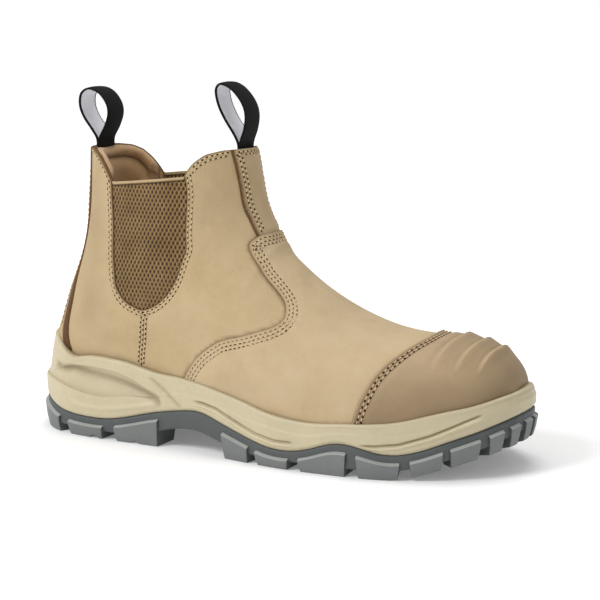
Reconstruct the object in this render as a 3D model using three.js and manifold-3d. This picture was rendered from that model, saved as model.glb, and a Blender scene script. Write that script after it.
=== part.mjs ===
// Side gore work boot for the right foot: a leather pull-on boot with two elastic gores,
// a moulded cup sole on a lugged rubber outsole, a ridged toe cap and two pull loops.
// Millimetres. The toe points along +X, +Z is up, and the outer side of the foot is -Y.
import * as THREE from "three";
import { mergeVertices } from "three/addons/utils/BufferGeometryUtils.js";
import Module from "manifold-3d";

const wasm = await Module();
wasm.setup();

// Driving sizes of the upper
const UPPER_LENGTH = 287.5;
const BALL_WIDTH = 102;
const INSTEP_HEIGHT = 117;
const HEEL_HEIGHT = 34;
const COLLAR_HEIGHT = 171;
const WALL = 2.4;
const VAMP_STEP = 1.1;

// Driving sizes of the sole
const HEEL_REACH = 8;
const TOE_REACH = 9.5;
const SIDE_REACH = 5;
const LEDGE_DROP = 3.4;
const LUG_REACH = 22;
const LUG_BEVEL = 1.4;
const LUG_OVERHANG = 2;
const TRAY_WALL = 3.2;
const RIM_ROUND = 1;
const LASTING_MARGIN = 20;
const FOOTBED = 5;

// Driving sizes of the pieces on the upper
const CAP_THICKNESS = 1.8;
const CAP_RIDGE = 1.7;
const CAP_SEAT = 8;
const STRIP_THICKNESS = 1.1;
const GORE_THICKNESS = 1.4;
const GORE_RECESS = 0.8;
const PAD_THICKNESS = 7;
const PAD_DEPTH = 42;
const LOOP_WIDTH = 18;
const LOOP_HEIGHT = 35;
const LOOP_SPAN = 20;
const WEBBING = 1.3;
const LOOP_TUCK = 9;

// Pieces that meet keep this gap.
const GAP = 0.3;

// The plate stands back behind the lugs' faces, and the tray holds the midsole inside its wall.
const PLATE_INSET = LUG_OVERHANG;
const TRAY_INSET = PLATE_INSET + TRAY_WALL;
const PLATE_ROUND = 1.5;
const TRAY_BEVEL = 0.8;

const SOLE_LENGTH = HEEL_REACH + UPPER_LENGTH + TOE_REACH;
const SOLE_WIDTH = BALL_WIDTH + 2 * SIDE_REACH;
// A side of the boot is the sign of its girth and of Y.
const OUTER = -1;
const INNER = 1;
// Half the width of a tool that cuts right through the boot
const THROUGH = BALL_WIDTH;

const mix = THREE.MathUtils.lerp;

// A table's columns as natural cubic splines over its first column.
function table(names, rows) {
  const knots = rows.map((row) => row[0]);
  const columns = names.slice(1).map((name, index) => {
    const values = rows.map((row) => row[index + 1]);
    return { name, values, bends: bendsOf(knots, values) };
  });
  const last = rows.length - 1;
  return (place) => {
    const at = THREE.MathUtils.clamp(place, knots[0], knots[last]);
    let i = 0;
    while (i < last - 1 && knots[i + 1] <= at) i += 1;
    const step = knots[i + 1] - knots[i];
    const b = (at - knots[i]) / step;
    const a = 1 - b;
    const row = {};
    for (const { name, values, bends } of columns) {
      const bend = (a ** 3 - a) * bends[i] + (b ** 3 - b) * bends[i + 1];
      row[name] = a * values[i] + b * values[i + 1] + (bend * step * step) / 6;
    }
    return row;
  };
}

// Second derivatives of the natural spline through the values.
function bendsOf(knots, values) {
  const count = values.length;
  const bends = new Array(count).fill(0);
  const carry = new Array(count).fill(0);
  for (let i = 1; i < count - 1; i += 1) {
    const before = knots[i] - knots[i - 1];
    const after = knots[i + 1] - knots[i];
    const turn = (values[i + 1] - values[i]) / after - (values[i] - values[i - 1]) / before;
    const weight = 2 * (before + after) - before * carry[i - 1];
    carry[i] = after / weight;
    bends[i] = (6 * turn - before * bends[i - 1]) / weight;
  }
  for (let i = count - 2; i > 0; i -= 1) {
    bends[i] -= carry[i] * bends[i + 1];
  }
  return bends;
}

// The last as a fan of sections, from the toe tip over the ball, instep and heel to the collar.
// Each section is a plane through its top line and its bottom or back line.
// X is a share of the upper's length. A rise of 1 is the instep for the top line and the heel
// seat for the back line, and a rise of 2 is the collar. Half widths and the middle are shares
// of the ball width, "widest" is the share of the section's height where it is widest, and the
// curves are the powers of its rounding above and below that.
const lastRow = table(
  ["station", "topX", "topRise", "backX", "backRise", "outer", "inner", "middle", "widest",
    "topCurve", "lowCurve"],
  [
    [0, 1.0, 0.342, 1.0, 1.044, 0, 0, 0.059, 0.45, 2.2, 2.6],
    [1, 0.996, 0.421, 0.991, 0.97, 0.127, 0.142, 0.059, 0.42, 2.2, 2.8],
    [2, 0.976, 0.494, 0.967, 0.853, 0.23, 0.25, 0.057, 0.38, 2.2, 3.2],
    [3, 0.945, 0.546, 0.932, 0.759, 0.319, 0.328, 0.051, 0.34, 2.2, 3.6],
    [4, 0.899, 0.575, 0.885, 0.671, 0.397, 0.397, 0.039, 0.31, 2.2, 4.0],
    [5, 0.837, 0.593, 0.826, 0.594, 0.456, 0.451, 0.022, 0.29, 2.15, 4.2],
    [6, 0.76, 0.615, 0.753, 0.538, 0.49, 0.483, 0.008, 0.28, 2.05, 4.4],
    [7, 0.677, 0.682, 0.677, 0.515, 0.498, 0.488, 0, 0.27, 1.95, 4.6],
    [8, 0.595, 0.795, 0.593, 0.535, 0.485, 0.461, 0, 0.26, 1.85, 4.6],
    [9, 0.539, 0.909, 0.499, 0.624, 0.454, 0.422, 0, 0.27, 1.8, 4.4],
    [10, 0.511, 1.0, 0.39, 0.753, 0.417, 0.387, 0, 0.3, 1.85, 4.2],
    [11, 0.487, 1.185, 0.271, 0.865, 0.39, 0.373, 0, 0.34, 1.9, 3.8],
    [12, 0.476, 1.315, 0.15, 0.924, 0.376, 0.365, 0, 0.38, 1.92, 3.4],
    [13, 0.47, 1.411, 0.049, 0.994, 0.367, 0.359, 0, 0.42, 1.93, 3.0],
    [14, 0.465, 1.5, 0.009, 1.088, 0.361, 0.355, 0, 0.45, 1.93, 2.7],
    [15, 0.461, 1.583, 0.017, 1.197, 0.355, 0.351, 0, 0.47, 1.93, 2.5],
    [16, 0.457, 1.667, 0.038, 1.328, 0.35, 0.347, 0, 0.49, 1.93, 2.4],
    [17, 0.453, 1.756, 0.06, 1.467, 0.345, 0.344, 0, 0.5, 1.93, 2.3],
    [18, 0.4495, 1.848, 0.078, 1.606, 0.342, 0.341, 0, 0.51, 1.93, 2.3],
    [19, 0.4445, 1.944, 0.086, 1.745, 0.339, 0.339, 0, 0.52, 1.93, 2.3],
    [20, 0.4395, 2.046, 0.09, 1.883, 0.338, 0.338, 0, 0.52, 1.93, 2.3],
    [21, 0.435, 2.167, 0.092, 2.022, 0.338, 0.338, 0, 0.52, 1.93, 2.3],
    [22, 0.4295, 2.315, 0.094, 2.153, 0.338, 0.338, 0, 0.52, 1.93, 2.3],
  ],
);
const LAST_STATION = 22;
const HEEL_STATION = 13.4;

// The vamp's back edge and the toe cap's back edge: the station reached at each girth.
// Girth runs from 0 on the top line to 1 on the bottom or back line, as a share of the arc.
const vampEdge = table(["girth", "station"], [
  [0, 10.62], [0.04, 10.68], [0.085, 10.88], [0.12, 10.96], [0.148, 10.82], [0.162, 10.4],
  [0.172, 9.9], [0.182, 9.25], [0.197, 8.7], [0.225, 8.42], [0.262, 8.35], [0.312, 8.5],
  [0.367, 8.92], [0.418, 9.4], [0.463, 9.82], [0.523, 10.15], [0.583, 10.35], [0.64, 10.42],
  [1, 10.42],
]);
const VAMP_GIRTHS = [0, 0.04, 0.085, 0.12, 0.148, 0.162, 0.182, 0.197, 0.225, 0.262, 0.312,
  0.367, 0.418, 0.463, 0.523, 0.583, 0.64, 0.82, 1];
const capEdge = table(["girth", "station"], [
  [0, 5.02], [0.1, 5.08], [0.19, 5.27], [0.267, 5.49], [0.332, 5.7], [0.438, 5.96],
  [0.508, 6.09], [0.558, 6.17], [0.66, 6.25],
]);
const CAP_GIRTH = 0.66;

// Half widths of the strips over the front and back seams, as shares of the girth.
const frontStrip = table(["station", "half"], [
  [10.5, 0.1], [12.3, 0.081], [14.3, 0.081], [16.3, 0.091], [18, 0.106], [20, 0.12], [22, 0.13],
]);
const backStrip = table(["station", "half"], [
  [13.2, 0.2], [14.2, 0.215], [15, 0.2], [15.8, 0.175], [16.7, 0.135], [17.7, 0.115],
  [18.6, 0.135], [19.6, 0.138], [20.4, 0.12], [22, 0.11],
]);

// The sole's outline at the lug tops: a row for each step from the heel round to the toe.
// X is a share of the sole's length, and the half widths and the middle of its width.
const outlineRow = table(["step", "x", "outer", "inner", "middle"], [
  [0, 0, 0, 0, 0],
  [1, 0.01, 0.147, 0.147, 0],
  [2, 0.036, 0.259, 0.259, 0],
  [3, 0.079, 0.339, 0.339, 0],
  [4, 0.138, 0.379, 0.379, 0],
  [5, 0.21, 0.395, 0.393, 0],
  [6, 0.289, 0.402, 0.393, 0],
  [7, 0.367, 0.415, 0.388, 0],
  [8, 0.446, 0.449, 0.411, 0],
  [9, 0.525, 0.4875, 0.446, 0],
  [10, 0.603, 0.512, 0.482, 0],
  [11, 0.682, 0.5125, 0.5, 0],
  [12, 0.757, 0.505, 0.503, 0.007],
  [13, 0.826, 0.469, 0.475, 0.022],
  [14, 0.887, 0.417, 0.418, 0.04],
  [15, 0.936, 0.332, 0.333, 0.054],
  [16, 0.972, 0.23, 0.23, 0.0625],
  [17, 0.993, 0.118, 0.119, 0.067],
  [18, 1, 0, 0, 0.071],
]);
const OUTLINE_STEPS = 18;

// Heights along the sole as shares of the heel height: the tray's underside and floor, the wavy
// line where the rubber meets the midsole, the ledge and the crest on the midsole's side, and
// its rim. The lean is how far the rim stands in from the outline, as a share of the reach at
// the side, and the recess is how hollow the side is between the ledge and the crest.
const soleRow = table(
  ["x", "under", "floor", "join", "ledge", "crest", "rim", "lean", "recess"],
  [
    [0, 0.265, 0.382, 0.618, 0.94, 1.0, 1.72, 1.72, 0.1],
    [0.03, 0.176, 0.28, 0.559, 0.94, 1.03, 1.706, 1.34, 0.3],
    [0.066, 0.147, 0.235, 0.456, 0.912, 1.1, 1.597, 0.92, 0.7],
    [0.105, 0.135, 0.221, 0.382, 0.847, 1.19, 1.391, 0.66, 1],
    [0.144, 0.132, 0.221, 0.356, 0.788, 1.235, 1.418, 0.6, 1],
    [0.197, 0.132, 0.221, 0.365, 0.762, 1.22, 1.429, 0.6, 1],
    [0.252, 0.147, 0.235, 0.459, 0.824, 1.118, 1.376, 0.6, 0.8],
    [0.308, 0.25, 0.338, 0.588, 0.835, 0.95, 1.271, 0.6, 0.2],
    [0.361, 0.368, 0.471, 0.676, 0.882, 0.985, 1.235, 0.6, 0],
    [0.407, 0.368, 0.471, 0.706, 0.85, 0.956, 1.176, 0.6, 0],
    [0.452, 0.265, 0.368, 0.594, 0.75, 0.868, 1.1, 0.6, 0],
    [0.505, 0.162, 0.265, 0.447, 0.647, 0.765, 0.994, 0.6, 0],
    [0.554, 0.135, 0.235, 0.332, 0.568, 0.682, 0.882, 0.6, 0],
    [0.603, 0.132, 0.221, 0.309, 0.512, 0.626, 0.824, 0.6, 0],
    [0.649, 0.132, 0.221, 0.391, 0.518, 0.618, 0.809, 0.6, 0],
    [0.692, 0.132, 0.221, 0.512, 0.603, 0.691, 0.838, 0.6, 0],
    [0.734, 0.132, 0.221, 0.503, 0.618, 0.715, 0.865, 0.6, 0],
    [0.774, 0.132, 0.221, 0.424, 0.606, 0.706, 0.894, 0.6, 0],
    [0.813, 0.153, 0.247, 0.409, 0.597, 0.721, 0.941, 0.6, 0],
    [0.852, 0.235, 0.332, 0.488, 0.676, 0.803, 1.026, 0.6, 0],
    [0.898, 0.338, 0.441, 0.64, 0.822, 0.931, 1.12, 0.6, 0],
    [0.938, 0.456, 0.559, 0.765, 0.962, 1.048, 1.19, 0.6, 0],
    [0.97, 0.574, 0.676, 0.88, 1.054, 1.145, 1.276, 0.6, 0],
    [1, 0.706, 0.794, 0.985, 1.12, 1.215, 1.345, 0.6, 0],
  ],
);

// How far the midsole's lower band stands out at its ledge, in millimetres, along the sole.
const ledgeRow = table(["x", "out"], [
  [0, 0.25], [0.1, 0.5], [0.25, 0.5], [0.31, 0.1], [0.37, 0], [0.41, 0.35], [0.5, 0.4],
  [0.59, 0.3], [0.64, 0], [0.73, 0], [0.78, 0.35], [0.88, 0.4], [0.93, 0.3], [0.96, 0], [1, 0],
]);

// Lugs along each side of the outsole: the outline steps where each begins and ends.
const SIDE_LUGS = [
  [0.25, 3.05], [3.5, 4.75], [5.1, 6.35], [8.2, 8.95], [9.15, 10.05], [10.3, 11.5],
  [11.75, 12.85], [13.1, 14], [14.2, 15.15], [15.45, 16.05], [16.35, 16.9], [17.25, 17.85],
];
// Lugs down the middle: their middle along the sole, their length and their half width, as
// shares of the sole's length and width.
const CENTRE_LUGS = [
  [0.13, 0.045, 0.13], [0.22, 0.045, 0.13], [0.545, 0.04, 0.2], [0.615, 0.04, 0.21],
  [0.685, 0.04, 0.21], [0.755, 0.04, 0.2], [0.825, 0.04, 0.16], [0.888, 0.03, 0.11],
];
// Bars under the arch, in the same terms.
const ARCH_BARS = [[0.362, 0.03, 0.3], [0.418, 0.03, 0.3]];

// The collar's line and the gore window in side view: X as a share of the upper's length and
// Z as a share of the collar height.
const COLLAR_LINE = [
  [0.02, 0.988], [0.104, 0.988], [0.122, 0.982], [0.14, 0.967], [0.158, 0.938],
  [0.171, 0.91], [0.181, 0.883],
];
const COLLAR_FRONT_LINE = [
  [0.349, 0.912], [0.354, 0.936], [0.367, 0.961], [0.386, 0.984], [0.414, 0.997],
  [0.463, 1], [0.55, 1],
];
const WINDOW_LINE = [
  [0.181, 0.883], [0.185, 0.79], [0.189, 0.672], [0.194, 0.585], [0.203, 0.52],
  [0.217, 0.489], [0.237, 0.47], [0.26, 0.459], [0.285, 0.472], [0.307, 0.498],
  [0.323, 0.53], [0.336, 0.575], [0.344, 0.63], [0.35, 0.69], [0.352, 0.82], [0.349, 0.912],
];

// A pull loop in side view, from its front foot over the top to its rear foot: X as a share of
// the span and Z as a share of the height.
const LOOP_LINE = [
  [0.03, 0], [0.07, 0.1], [0.28, 0.3], [0.45, 0.52], [0.46, 0.72], [0.28, 0.92],
  [-0.06, 1], [-0.4, 0.9], [-0.54, 0.68], [-0.46, 0.46], [-0.22, 0.24], [-0.07, 0.1],
  [-0.03, 0],
];
// How far a loop leans back at its top, as a share of its height
const LOOP_LEAN = 0.15;

const upperX = (share) => HEEL_REACH + share * UPPER_LENGTH;

// A rise from 0 to 1 is a share of the lower height, and from 1 to 2 leads to the collar.
function rise(share, height) {
  if (share <= 1) return share * height;
  return height + (share - 1) * (COLLAR_HEIGHT - height);
}

// One side of a section as a line of points with the arc length up to each of them.
const SECTION_STEPS = 48;
const sections = new Map();
function sectionOf(station, side) {
  const key = `${station} ${side}`;
  if (sections.has(key)) return sections.get(key);
  const row = lastRow(station);
  const top = new THREE.Vector2(upperX(row.topX), rise(row.topRise, INSTEP_HEIGHT));
  const back = new THREE.Vector2(upperX(row.backX), rise(row.backRise, HEEL_HEIGHT));
  const half = BALL_WIDTH * (side === OUTER ? row.outer : row.inner);
  const points = [];
  const arcs = [0];
  for (let i = 0; i <= SECTION_STEPS; i += 1) {
    const angle = (Math.PI * i) / SECTION_STEPS;
    const reach = Math.abs(Math.cos(angle));
    const upper = i <= SECTION_STEPS / 2;
    const power = 2 / (upper ? row.topCurve : row.lowCurve);
    const share = upper
      ? row.widest + (1 - row.widest) * reach ** power
      : row.widest * (1 - reach ** power);
    const across = half * Math.abs(Math.sin(angle)) ** power;
    points.push(new THREE.Vector3(
      back.x + share * (top.x - back.x),
      BALL_WIDTH * row.middle + side * across,
      back.y + share * (top.y - back.y),
    ));
    if (i > 0) arcs.push(arcs[i - 1] + points[i].distanceTo(points[i - 1]));
  }
  const section = { points, arcs };
  sections.set(key, section);
  return section;
}

// A point of the last at a station and a girth from -1 to 1; past 1 it goes on round.
function lastPoint(station, girth) {
  const turned = girth > 1 ? girth - 2 : girth < -1 ? girth + 2 : girth;
  const { points, arcs } = sectionOf(station, turned < 0 ? OUTER : INNER);
  const goal = Math.abs(turned) * arcs[SECTION_STEPS];
  let i = 0;
  while (i < SECTION_STEPS - 1 && arcs[i + 1] < goal) i += 1;
  const span = Math.max(arcs[i + 1] - arcs[i], 1e-9);
  return points[i].clone().lerp(points[i + 1], (goal - arcs[i]) / span);
}

// The boot's surface, lifted from the last along its normal.
const STATION_PROBE = 0.02;
const GIRTH_PROBE = 0.004;
function bootPoint(station, girth, lift) {
  const at = THREE.MathUtils.clamp(station, STATION_PROBE, LAST_STATION - STATION_PROBE);
  const along = lastPoint(at + STATION_PROBE, girth).sub(lastPoint(at - STATION_PROBE, girth));
  const round = lastPoint(at, girth + GIRTH_PROBE).sub(lastPoint(at, girth - GIRTH_PROBE));
  const normal = round.cross(along).normalize();
  return lastPoint(station, girth).addScaledVector(normal, lift);
}

function solidOf(points, triangles) {
  const coordinates = new Float32Array(points.length * 3);
  points.forEach((point, i) => point.toArray(coordinates, i * 3));
  const mesh = new wasm.Mesh({
    numProp: 3,
    vertProperties: coordinates,
    triVerts: new Uint32Array(triangles.flat()),
  });
  return new wasm.Manifold(mesh);
}

function geometryOf(solid) {
  const mesh = solid.getMesh();
  const geometry = new THREE.BufferGeometry();
  geometry.setAttribute("position", new THREE.BufferAttribute(mesh.vertProperties, 3));
  geometry.setIndex(new THREE.BufferAttribute(mesh.triVerts, 1));
  return geometry;
}

// Rings of equal count, joined in order, closed at both ends by the given triangles.
function stack(rings, startCap, endCap) {
  const count = rings[0].length;
  const triangles = [];
  for (let k = 0; k < rings.length - 1; k += 1) {
    for (let i = 0; i < count; i += 1) {
      const a = k * count + i;
      const b = k * count + ((i + 1) % count);
      triangles.push([a, b, b + count], [a, b + count, a + count]);
    }
  }
  const offset = (rings.length - 1) * count;
  for (const [a, b, c] of startCap) triangles.push([a, c, b]);
  for (const [a, b, c] of endCap) triangles.push([a + offset, b + offset, c + offset]);
  return solidOf(rings.flat(), triangles);
}

// Triangles across a ring from its first point.
const fan = (count) => Array.from({ length: count - 2 }, (_, i) => [0, i + 1, i + 2]);

// Rings of the boot's surface. A station may depend on the girth.
function domeRings(stations, girths, liftAt) {
  return stations.map((share) => girths.map((girth) => {
    const station = typeof share === "function" ? share(girth) : share;
    return bootPoint(station, girth, liftAt(station, girth));
  }));
}

function tipPoint(lift) {
  return lastPoint(0, 0).add(new THREE.Vector3(lift, 0, 0));
}

// A closed form of the whole boot, lifted by the given function.
function form(stations, girths, liftAt) {
  const rings = domeRings(stations, girths, liftAt);
  const points = [...rings.flat(), tipPoint(liftAt(0, 0))];
  const count = girths.length;
  const tip = points.length - 1;
  const triangles = [];
  for (let i = 0; i < count; i += 1) {
    triangles.push([tip, (i + 1) % count, i]);
  }
  for (let k = 0; k < rings.length - 1; k += 1) {
    for (let i = 0; i < count; i += 1) {
      const a = k * count + i;
      const b = k * count + ((i + 1) % count);
      triangles.push([a, b, b + count], [a, b + count, a + count]);
    }
  }
  const offset = (rings.length - 1) * count;
  for (const [a, b, c] of fan(count)) triangles.push([a + offset, b + offset, c + offset]);
  return solidOf(points, triangles);
}

const evenGirths = (count) =>
  Array.from({ length: count }, (_, i) => -1 + (2 * i) / count);
const FINE_STATIONS = [
  0.4, 1, 1.8, 2.7, 3.6, 4.5, 5.4, 6.3, 6.7, 7.5, 8.4, 9.2, 9.9, 10.5, 10.9, 11.5, 12.2, 12.95,
  13.3, 13.7, 14.3, 15.1, 16.2, 17.6, 19.2, LAST_STATION,
];
const COARSE_STATIONS = [
  0.8, 2, 3.4, 5, 6.6, 8, 9.2, 10.2, 11.2, 12.3, 13.3, 14.2, 15.6, 17.4, 19.4, LAST_STATION,
];
const FINE_GIRTHS = 24;
const COARSE_GIRTHS = 18;
const fineForm = (liftAt) => form(FINE_STATIONS, evenGirths(FINE_GIRTHS), liftAt);
const coarseForm = (lift) => form(COARSE_STATIONS, evenGirths(COARSE_GIRTHS), () => lift);

// A closed sheet over a grid of stations and girths, between two lifts.
function sheet(girths, stationsAt, low, high) {
  return closedGrid([low, high].map((lift) =>
    girths.map((girth) => stationsAt(girth).map((station) => bootPoint(station, girth, lift)))));
}

// A solid between two grids of points, the inner face first, walled round their edge.
function closedGrid(faces) {
  const rows = faces[0].length;
  const columns = faces[0][0].length;
  const index = (face, i, j) => (face * rows + i) * columns + j;
  const triangles = [];
  const quad = (a, b, c, d) => triangles.push([a, b, c], [a, c, d]);
  for (let i = 0; i < rows - 1; i += 1) {
    for (let j = 0; j < columns - 1; j += 1) {
      quad(index(1, i, j), index(1, i + 1, j), index(1, i + 1, j + 1), index(1, i, j + 1));
      quad(index(0, i, j), index(0, i, j + 1), index(0, i + 1, j + 1), index(0, i + 1, j));
    }
  }
  for (let i = 0; i < rows - 1; i += 1) {
    const far = columns - 1;
    quad(index(0, i, 0), index(0, i + 1, 0), index(1, i + 1, 0), index(1, i, 0));
    quad(index(1, i, far), index(1, i + 1, far), index(0, i + 1, far), index(0, i, far));
  }
  for (let j = 0; j < columns - 1; j += 1) {
    const far = rows - 1;
    quad(index(1, 0, j), index(1, 0, j + 1), index(0, 0, j + 1), index(0, 0, j));
    quad(index(0, far, j), index(0, far, j + 1), index(1, far, j + 1), index(1, far, j));
  }
  return solidOf(faces.flat(2), triangles);
}

// A prism through the boot from side to side, from points in side view.
function sidePrism(points, half) {
  const shape = new THREE.Shape(points.map(([x, z]) => new THREE.Vector2(x, z)));
  const geometry = new THREE.ExtrudeGeometry(shape, { depth: 2 * half, bevelEnabled: false });
  geometry.translate(0, 0, -half);
  geometry.rotateX(Math.PI / 2);
  return solidFromGeometry(geometry);
}

function solidFromGeometry(geometry) {
  const bare = geometry.clone();
  bare.deleteAttribute("normal");
  bare.deleteAttribute("uv");
  const merged = mergeVertices(bare);
  return new wasm.Manifold(new wasm.Mesh({
    numProp: 3,
    vertProperties: merged.attributes.position.array,
    triVerts: new Uint32Array(merged.index.array),
  }));
}

// A point of the sole's outline in plan, moved in from it by the inset.
function outlinePoint(step, side, inset) {
  const probe = 0.01;
  const place = (at) => {
    const row = outlineRow(at);
    const half = side === OUTER ? row.outer : row.inner;
    return new THREE.Vector2(
      row.x * SOLE_LENGTH,
      SOLE_WIDTH * (row.middle + side * half),
    );
  };
  const at = THREE.MathUtils.clamp(step, probe, OUTLINE_STEPS - probe);
  const along = place(at + probe).sub(place(at - probe)).normalize();
  const inward = new THREE.Vector2(side * along.y, -side * along.x);
  if (step <= 0) inward.set(1, 0);
  if (step >= OUTLINE_STEPS) inward.set(-1, 0);
  return place(step).addScaledVector(inward, inset);
}

// The sole's heights at an outline step.
function soleAt(step) {
  const x = outlineRow(step).x;
  const row = soleRow(x);
  const height = (name) => row[name] * HEEL_HEIGHT;
  return {
    x: x * SOLE_LENGTH,
    under: height("under"),
    floor: height("floor"),
    join: height("join"),
    ledge: height("ledge"),
    crest: height("crest"),
    rim: height("rim"),
    lean: row.lean * SIDE_REACH,
    recess: row.recess,
    out: ledgeRow(x).out,
    ground: groundAt(x * SOLE_LENGTH),
  };
}

// The ground line: flat under heel and ball, bevelled at the heel and sprung at the toe.
const HEEL_BEVEL = { length: 12, rise: 3 };
const TOE_SPRING = { start: 0.797, rise: 18.5, power: 1.25 };
function groundAt(x) {
  const heel = Math.max(0, 1 - x / HEEL_BEVEL.length);
  const start = TOE_SPRING.start * SOLE_LENGTH;
  const toe = Math.max(0, (x - start) / (SOLE_LENGTH - start));
  return HEEL_BEVEL.rise * heel ** 2 + TOE_SPRING.rise * toe ** TOE_SPRING.power;
}

// A stack of rings that follow the outline. A layer gives its inset and height at each step.
const OUTLINE_RING = 28;
function outlineStack(layers) {
  const places = [];
  for (let i = 0; i <= OUTLINE_RING; i += 1) places.push([i, OUTER]);
  for (let i = OUTLINE_RING - 1; i > 0; i -= 1) places.push([i, INNER]);
  const rings = layers.map((layer) => places.map(([i, side]) => {
    const step = (i * OUTLINE_STEPS) / OUTLINE_RING;
    const { inset, height } = layer(soleAt(step));
    const point = outlinePoint(step, side, inset);
    return new THREE.Vector3(point.x, point.y, height);
  }));
  const rungs = [];
  const count = places.length;
  for (let i = 0; i < OUTLINE_RING; i += 1) {
    const a = i === 0 ? 0 : count - i;
    const b = count - i - 1;
    if (i > 0) rungs.push([i, i + 1, a]);
    if (i < OUTLINE_RING - 1) rungs.push([i + 1, b, a]);
  }
  return stack(rings, rungs, rungs);
}

// How far a lug narrows down to the ground
const LUG_DRAFT = 1.3;
// How far a lug's root goes up into the tray
const LUG_ROOT = 1.8;
// How far the flat on top of a side lug, and its shoulder below that, reach into the plate
const LUG_SHELF = 0.8;
const LUG_SHOULDER = 2;
// The longest reach of a side lug, as a share of the half width there
const LUG_SHARE = 0.8;
// How much shorter a side lug is at the ground at each end, in outline steps
const LUG_PULL = 0.05;
// The longest straight run of a side lug, in outline steps
const LUG_RUN = 1.3;

// One lug: a section across the outline, swept from one outline step to another.
function sideLug(side, from, to) {
  const spans = Math.ceil((to - from) / LUG_RUN);
  const rings = [];
  for (let i = 0; i <= spans; i += 1) {
    const pull = (1 - (2 * i) / spans) * LUG_PULL;
    const high = from + ((to - from) * i) / spans;
    const low = high + pull;
    const at = (step, inset, heightOf) => {
      const point = outlinePoint(step, side, inset);
      return new THREE.Vector3(point.x, point.y, heightOf(point.x));
    };
    const under = (x) => soleRow(x / SOLE_LENGTH).under * HEEL_HEIGHT + LUG_ROOT;
    const top = soleAt(high).join - LEDGE_DROP;
    const reach = Math.min(LUG_REACH, SOLE_WIDTH * halfAt(high, side) * LUG_SHARE);
    rings.push([
      at(low, LUG_DRAFT + LUG_OVERHANG / 2, groundAt),
      at(high, 0, () => top - LUG_BEVEL),
      at(high, LUG_OVERHANG + LUG_SHELF, () => top),
      at(high, LUG_OVERHANG + LUG_SHOULDER, under),
      at(high, reach, under),
      at(low, reach - LUG_DRAFT, groundAt),
    ]);
  }
  const cap = [[0, 1, 2], [0, 2, 3], [0, 3, 4], [0, 4, 5]];
  if (side === INNER) return stack(rings, cap, cap);
  const turned = rings.map((ring) => [...ring].reverse());
  const turnedCap = cap.map(([a, b, c]) => [5 - c, 5 - b, 5 - a]);
  return stack(turned, turnedCap, turnedCap);
}

function halfAt(step, side) {
  const row = outlineRow(step);
  return side === OUTER ? row.outer : row.inner;
}

// A block across the middle of the tread, from the ground up into the tray.
function centreBlock([middle, length, half], drop) {
  const x = middle * SOLE_LENGTH;
  const reach = (length * SOLE_LENGTH) / 2;
  const centre = SOLE_WIDTH * soleMiddle(middle);
  const under = (px) => soleRow(px / SOLE_LENGTH).under * HEEL_HEIGHT;
  const ring = (grow, heightAt) => [
    [x - reach - grow, centre - half * SOLE_WIDTH - grow],
    [x + reach + grow, centre - half * SOLE_WIDTH - grow],
    [x + reach + grow, centre + half * SOLE_WIDTH + grow],
    [x - reach - grow, centre + half * SOLE_WIDTH + grow],
  ].map(([px, py]) => new THREE.Vector3(px, py, heightAt(px)));
  const low = drop === undefined ? groundAt : (px) => under(px) - drop;
  const rings = [ring(0, low), ring(LUG_DRAFT, (px) => under(px) + LUG_ROOT)];
  return stack(rings, fan(4), fan(4));
}

// The middle of the sole's width at a share of its length.
function soleMiddle(share) {
  let low = 0;
  let high = OUTLINE_STEPS;
  for (let i = 0; i < 30; i += 1) {
    const step = (low + high) / 2;
    if (outlineRow(step).x < share) low = step;
    else high = step;
  }
  return outlineRow(low).middle;
}

function outsoleSolid() {
  let solid = outlineStack([
    (at) => ({ inset: PLATE_INSET + PLATE_ROUND, height: at.under }),
    (at) => ({ inset: PLATE_INSET, height: at.under + PLATE_ROUND }),
    (at) => ({ inset: PLATE_INSET, height: at.join - TRAY_BEVEL }),
    (at) => ({ inset: PLATE_INSET + TRAY_BEVEL, height: at.join }),
    (at) => ({ inset: TRAY_INSET, height: at.join }),
    (at) => ({ inset: TRAY_INSET, height: at.floor }),
  ]);
  for (const [from, to] of SIDE_LUGS) {
    solid = solid.add(sideLug(OUTER, from, to)).add(sideLug(INNER, from, to));
  }
  for (const lug of CENTRE_LUGS) solid = solid.add(centreBlock(lug));
  for (const bar of ARCH_BARS) solid = solid.add(centreBlock(bar, LUG_BEVEL));
  return solid;
}

// The opening under the upper, inside its lasted margin: the outline drawn in towards its middle.
function bottomOpening(extra, depth) {
  const margin = 2 * (LASTING_MARGIN + extra);
  const opening = outlineStack([
    () => ({ inset: 0, height: 0 }),
    (at) => ({ inset: 0, height: seatHeight(at.x) + depth }),
  ]);
  const along = 1 - margin / SOLE_LENGTH;
  const across = 1 - margin / SOLE_WIDTH;
  return opening
    .scale([along, across, 1])
    .translate([((1 - along) * SOLE_LENGTH) / 2, 0, 0]);
}

// How far the midsole's cup keeps out from the last: over the toe cap, the vamp, the bare
// quarters and the back strip, in turn. The cap's part ends at its lower edge.
const CUP_STEPS = { cap: [6.3, 6.7], vamp: [10.5, 10.9], strip: [12.95, 13.3] };
const CUP_GIRTHS = [0.72, 0.78];
function cupLift(station, girth) {
  const { smoothstep } = THREE.MathUtils;
  const cap = (1 - smoothstep(station, ...CUP_STEPS.cap))
    * (1 - smoothstep(Math.abs(girth), ...CUP_GIRTHS));
  const vamp = 1 - smoothstep(station, ...CUP_STEPS.vamp);
  const strip = smoothstep(station, ...CUP_STEPS.strip);
  return GAP + (CAP_THICKNESS + GAP) * cap + VAMP_STEP * vamp + (STRIP_THICKNESS + GAP) * strip;
}

// The midsole's side: the inset of its lower band and the rounding of its edges
const BAND_INSET = PLATE_INSET - 0.4;
const BAND_ROUND = 2;
const LEDGE_ROUND = 0.5;
const CREST_ROUND = 0.9;

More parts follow.
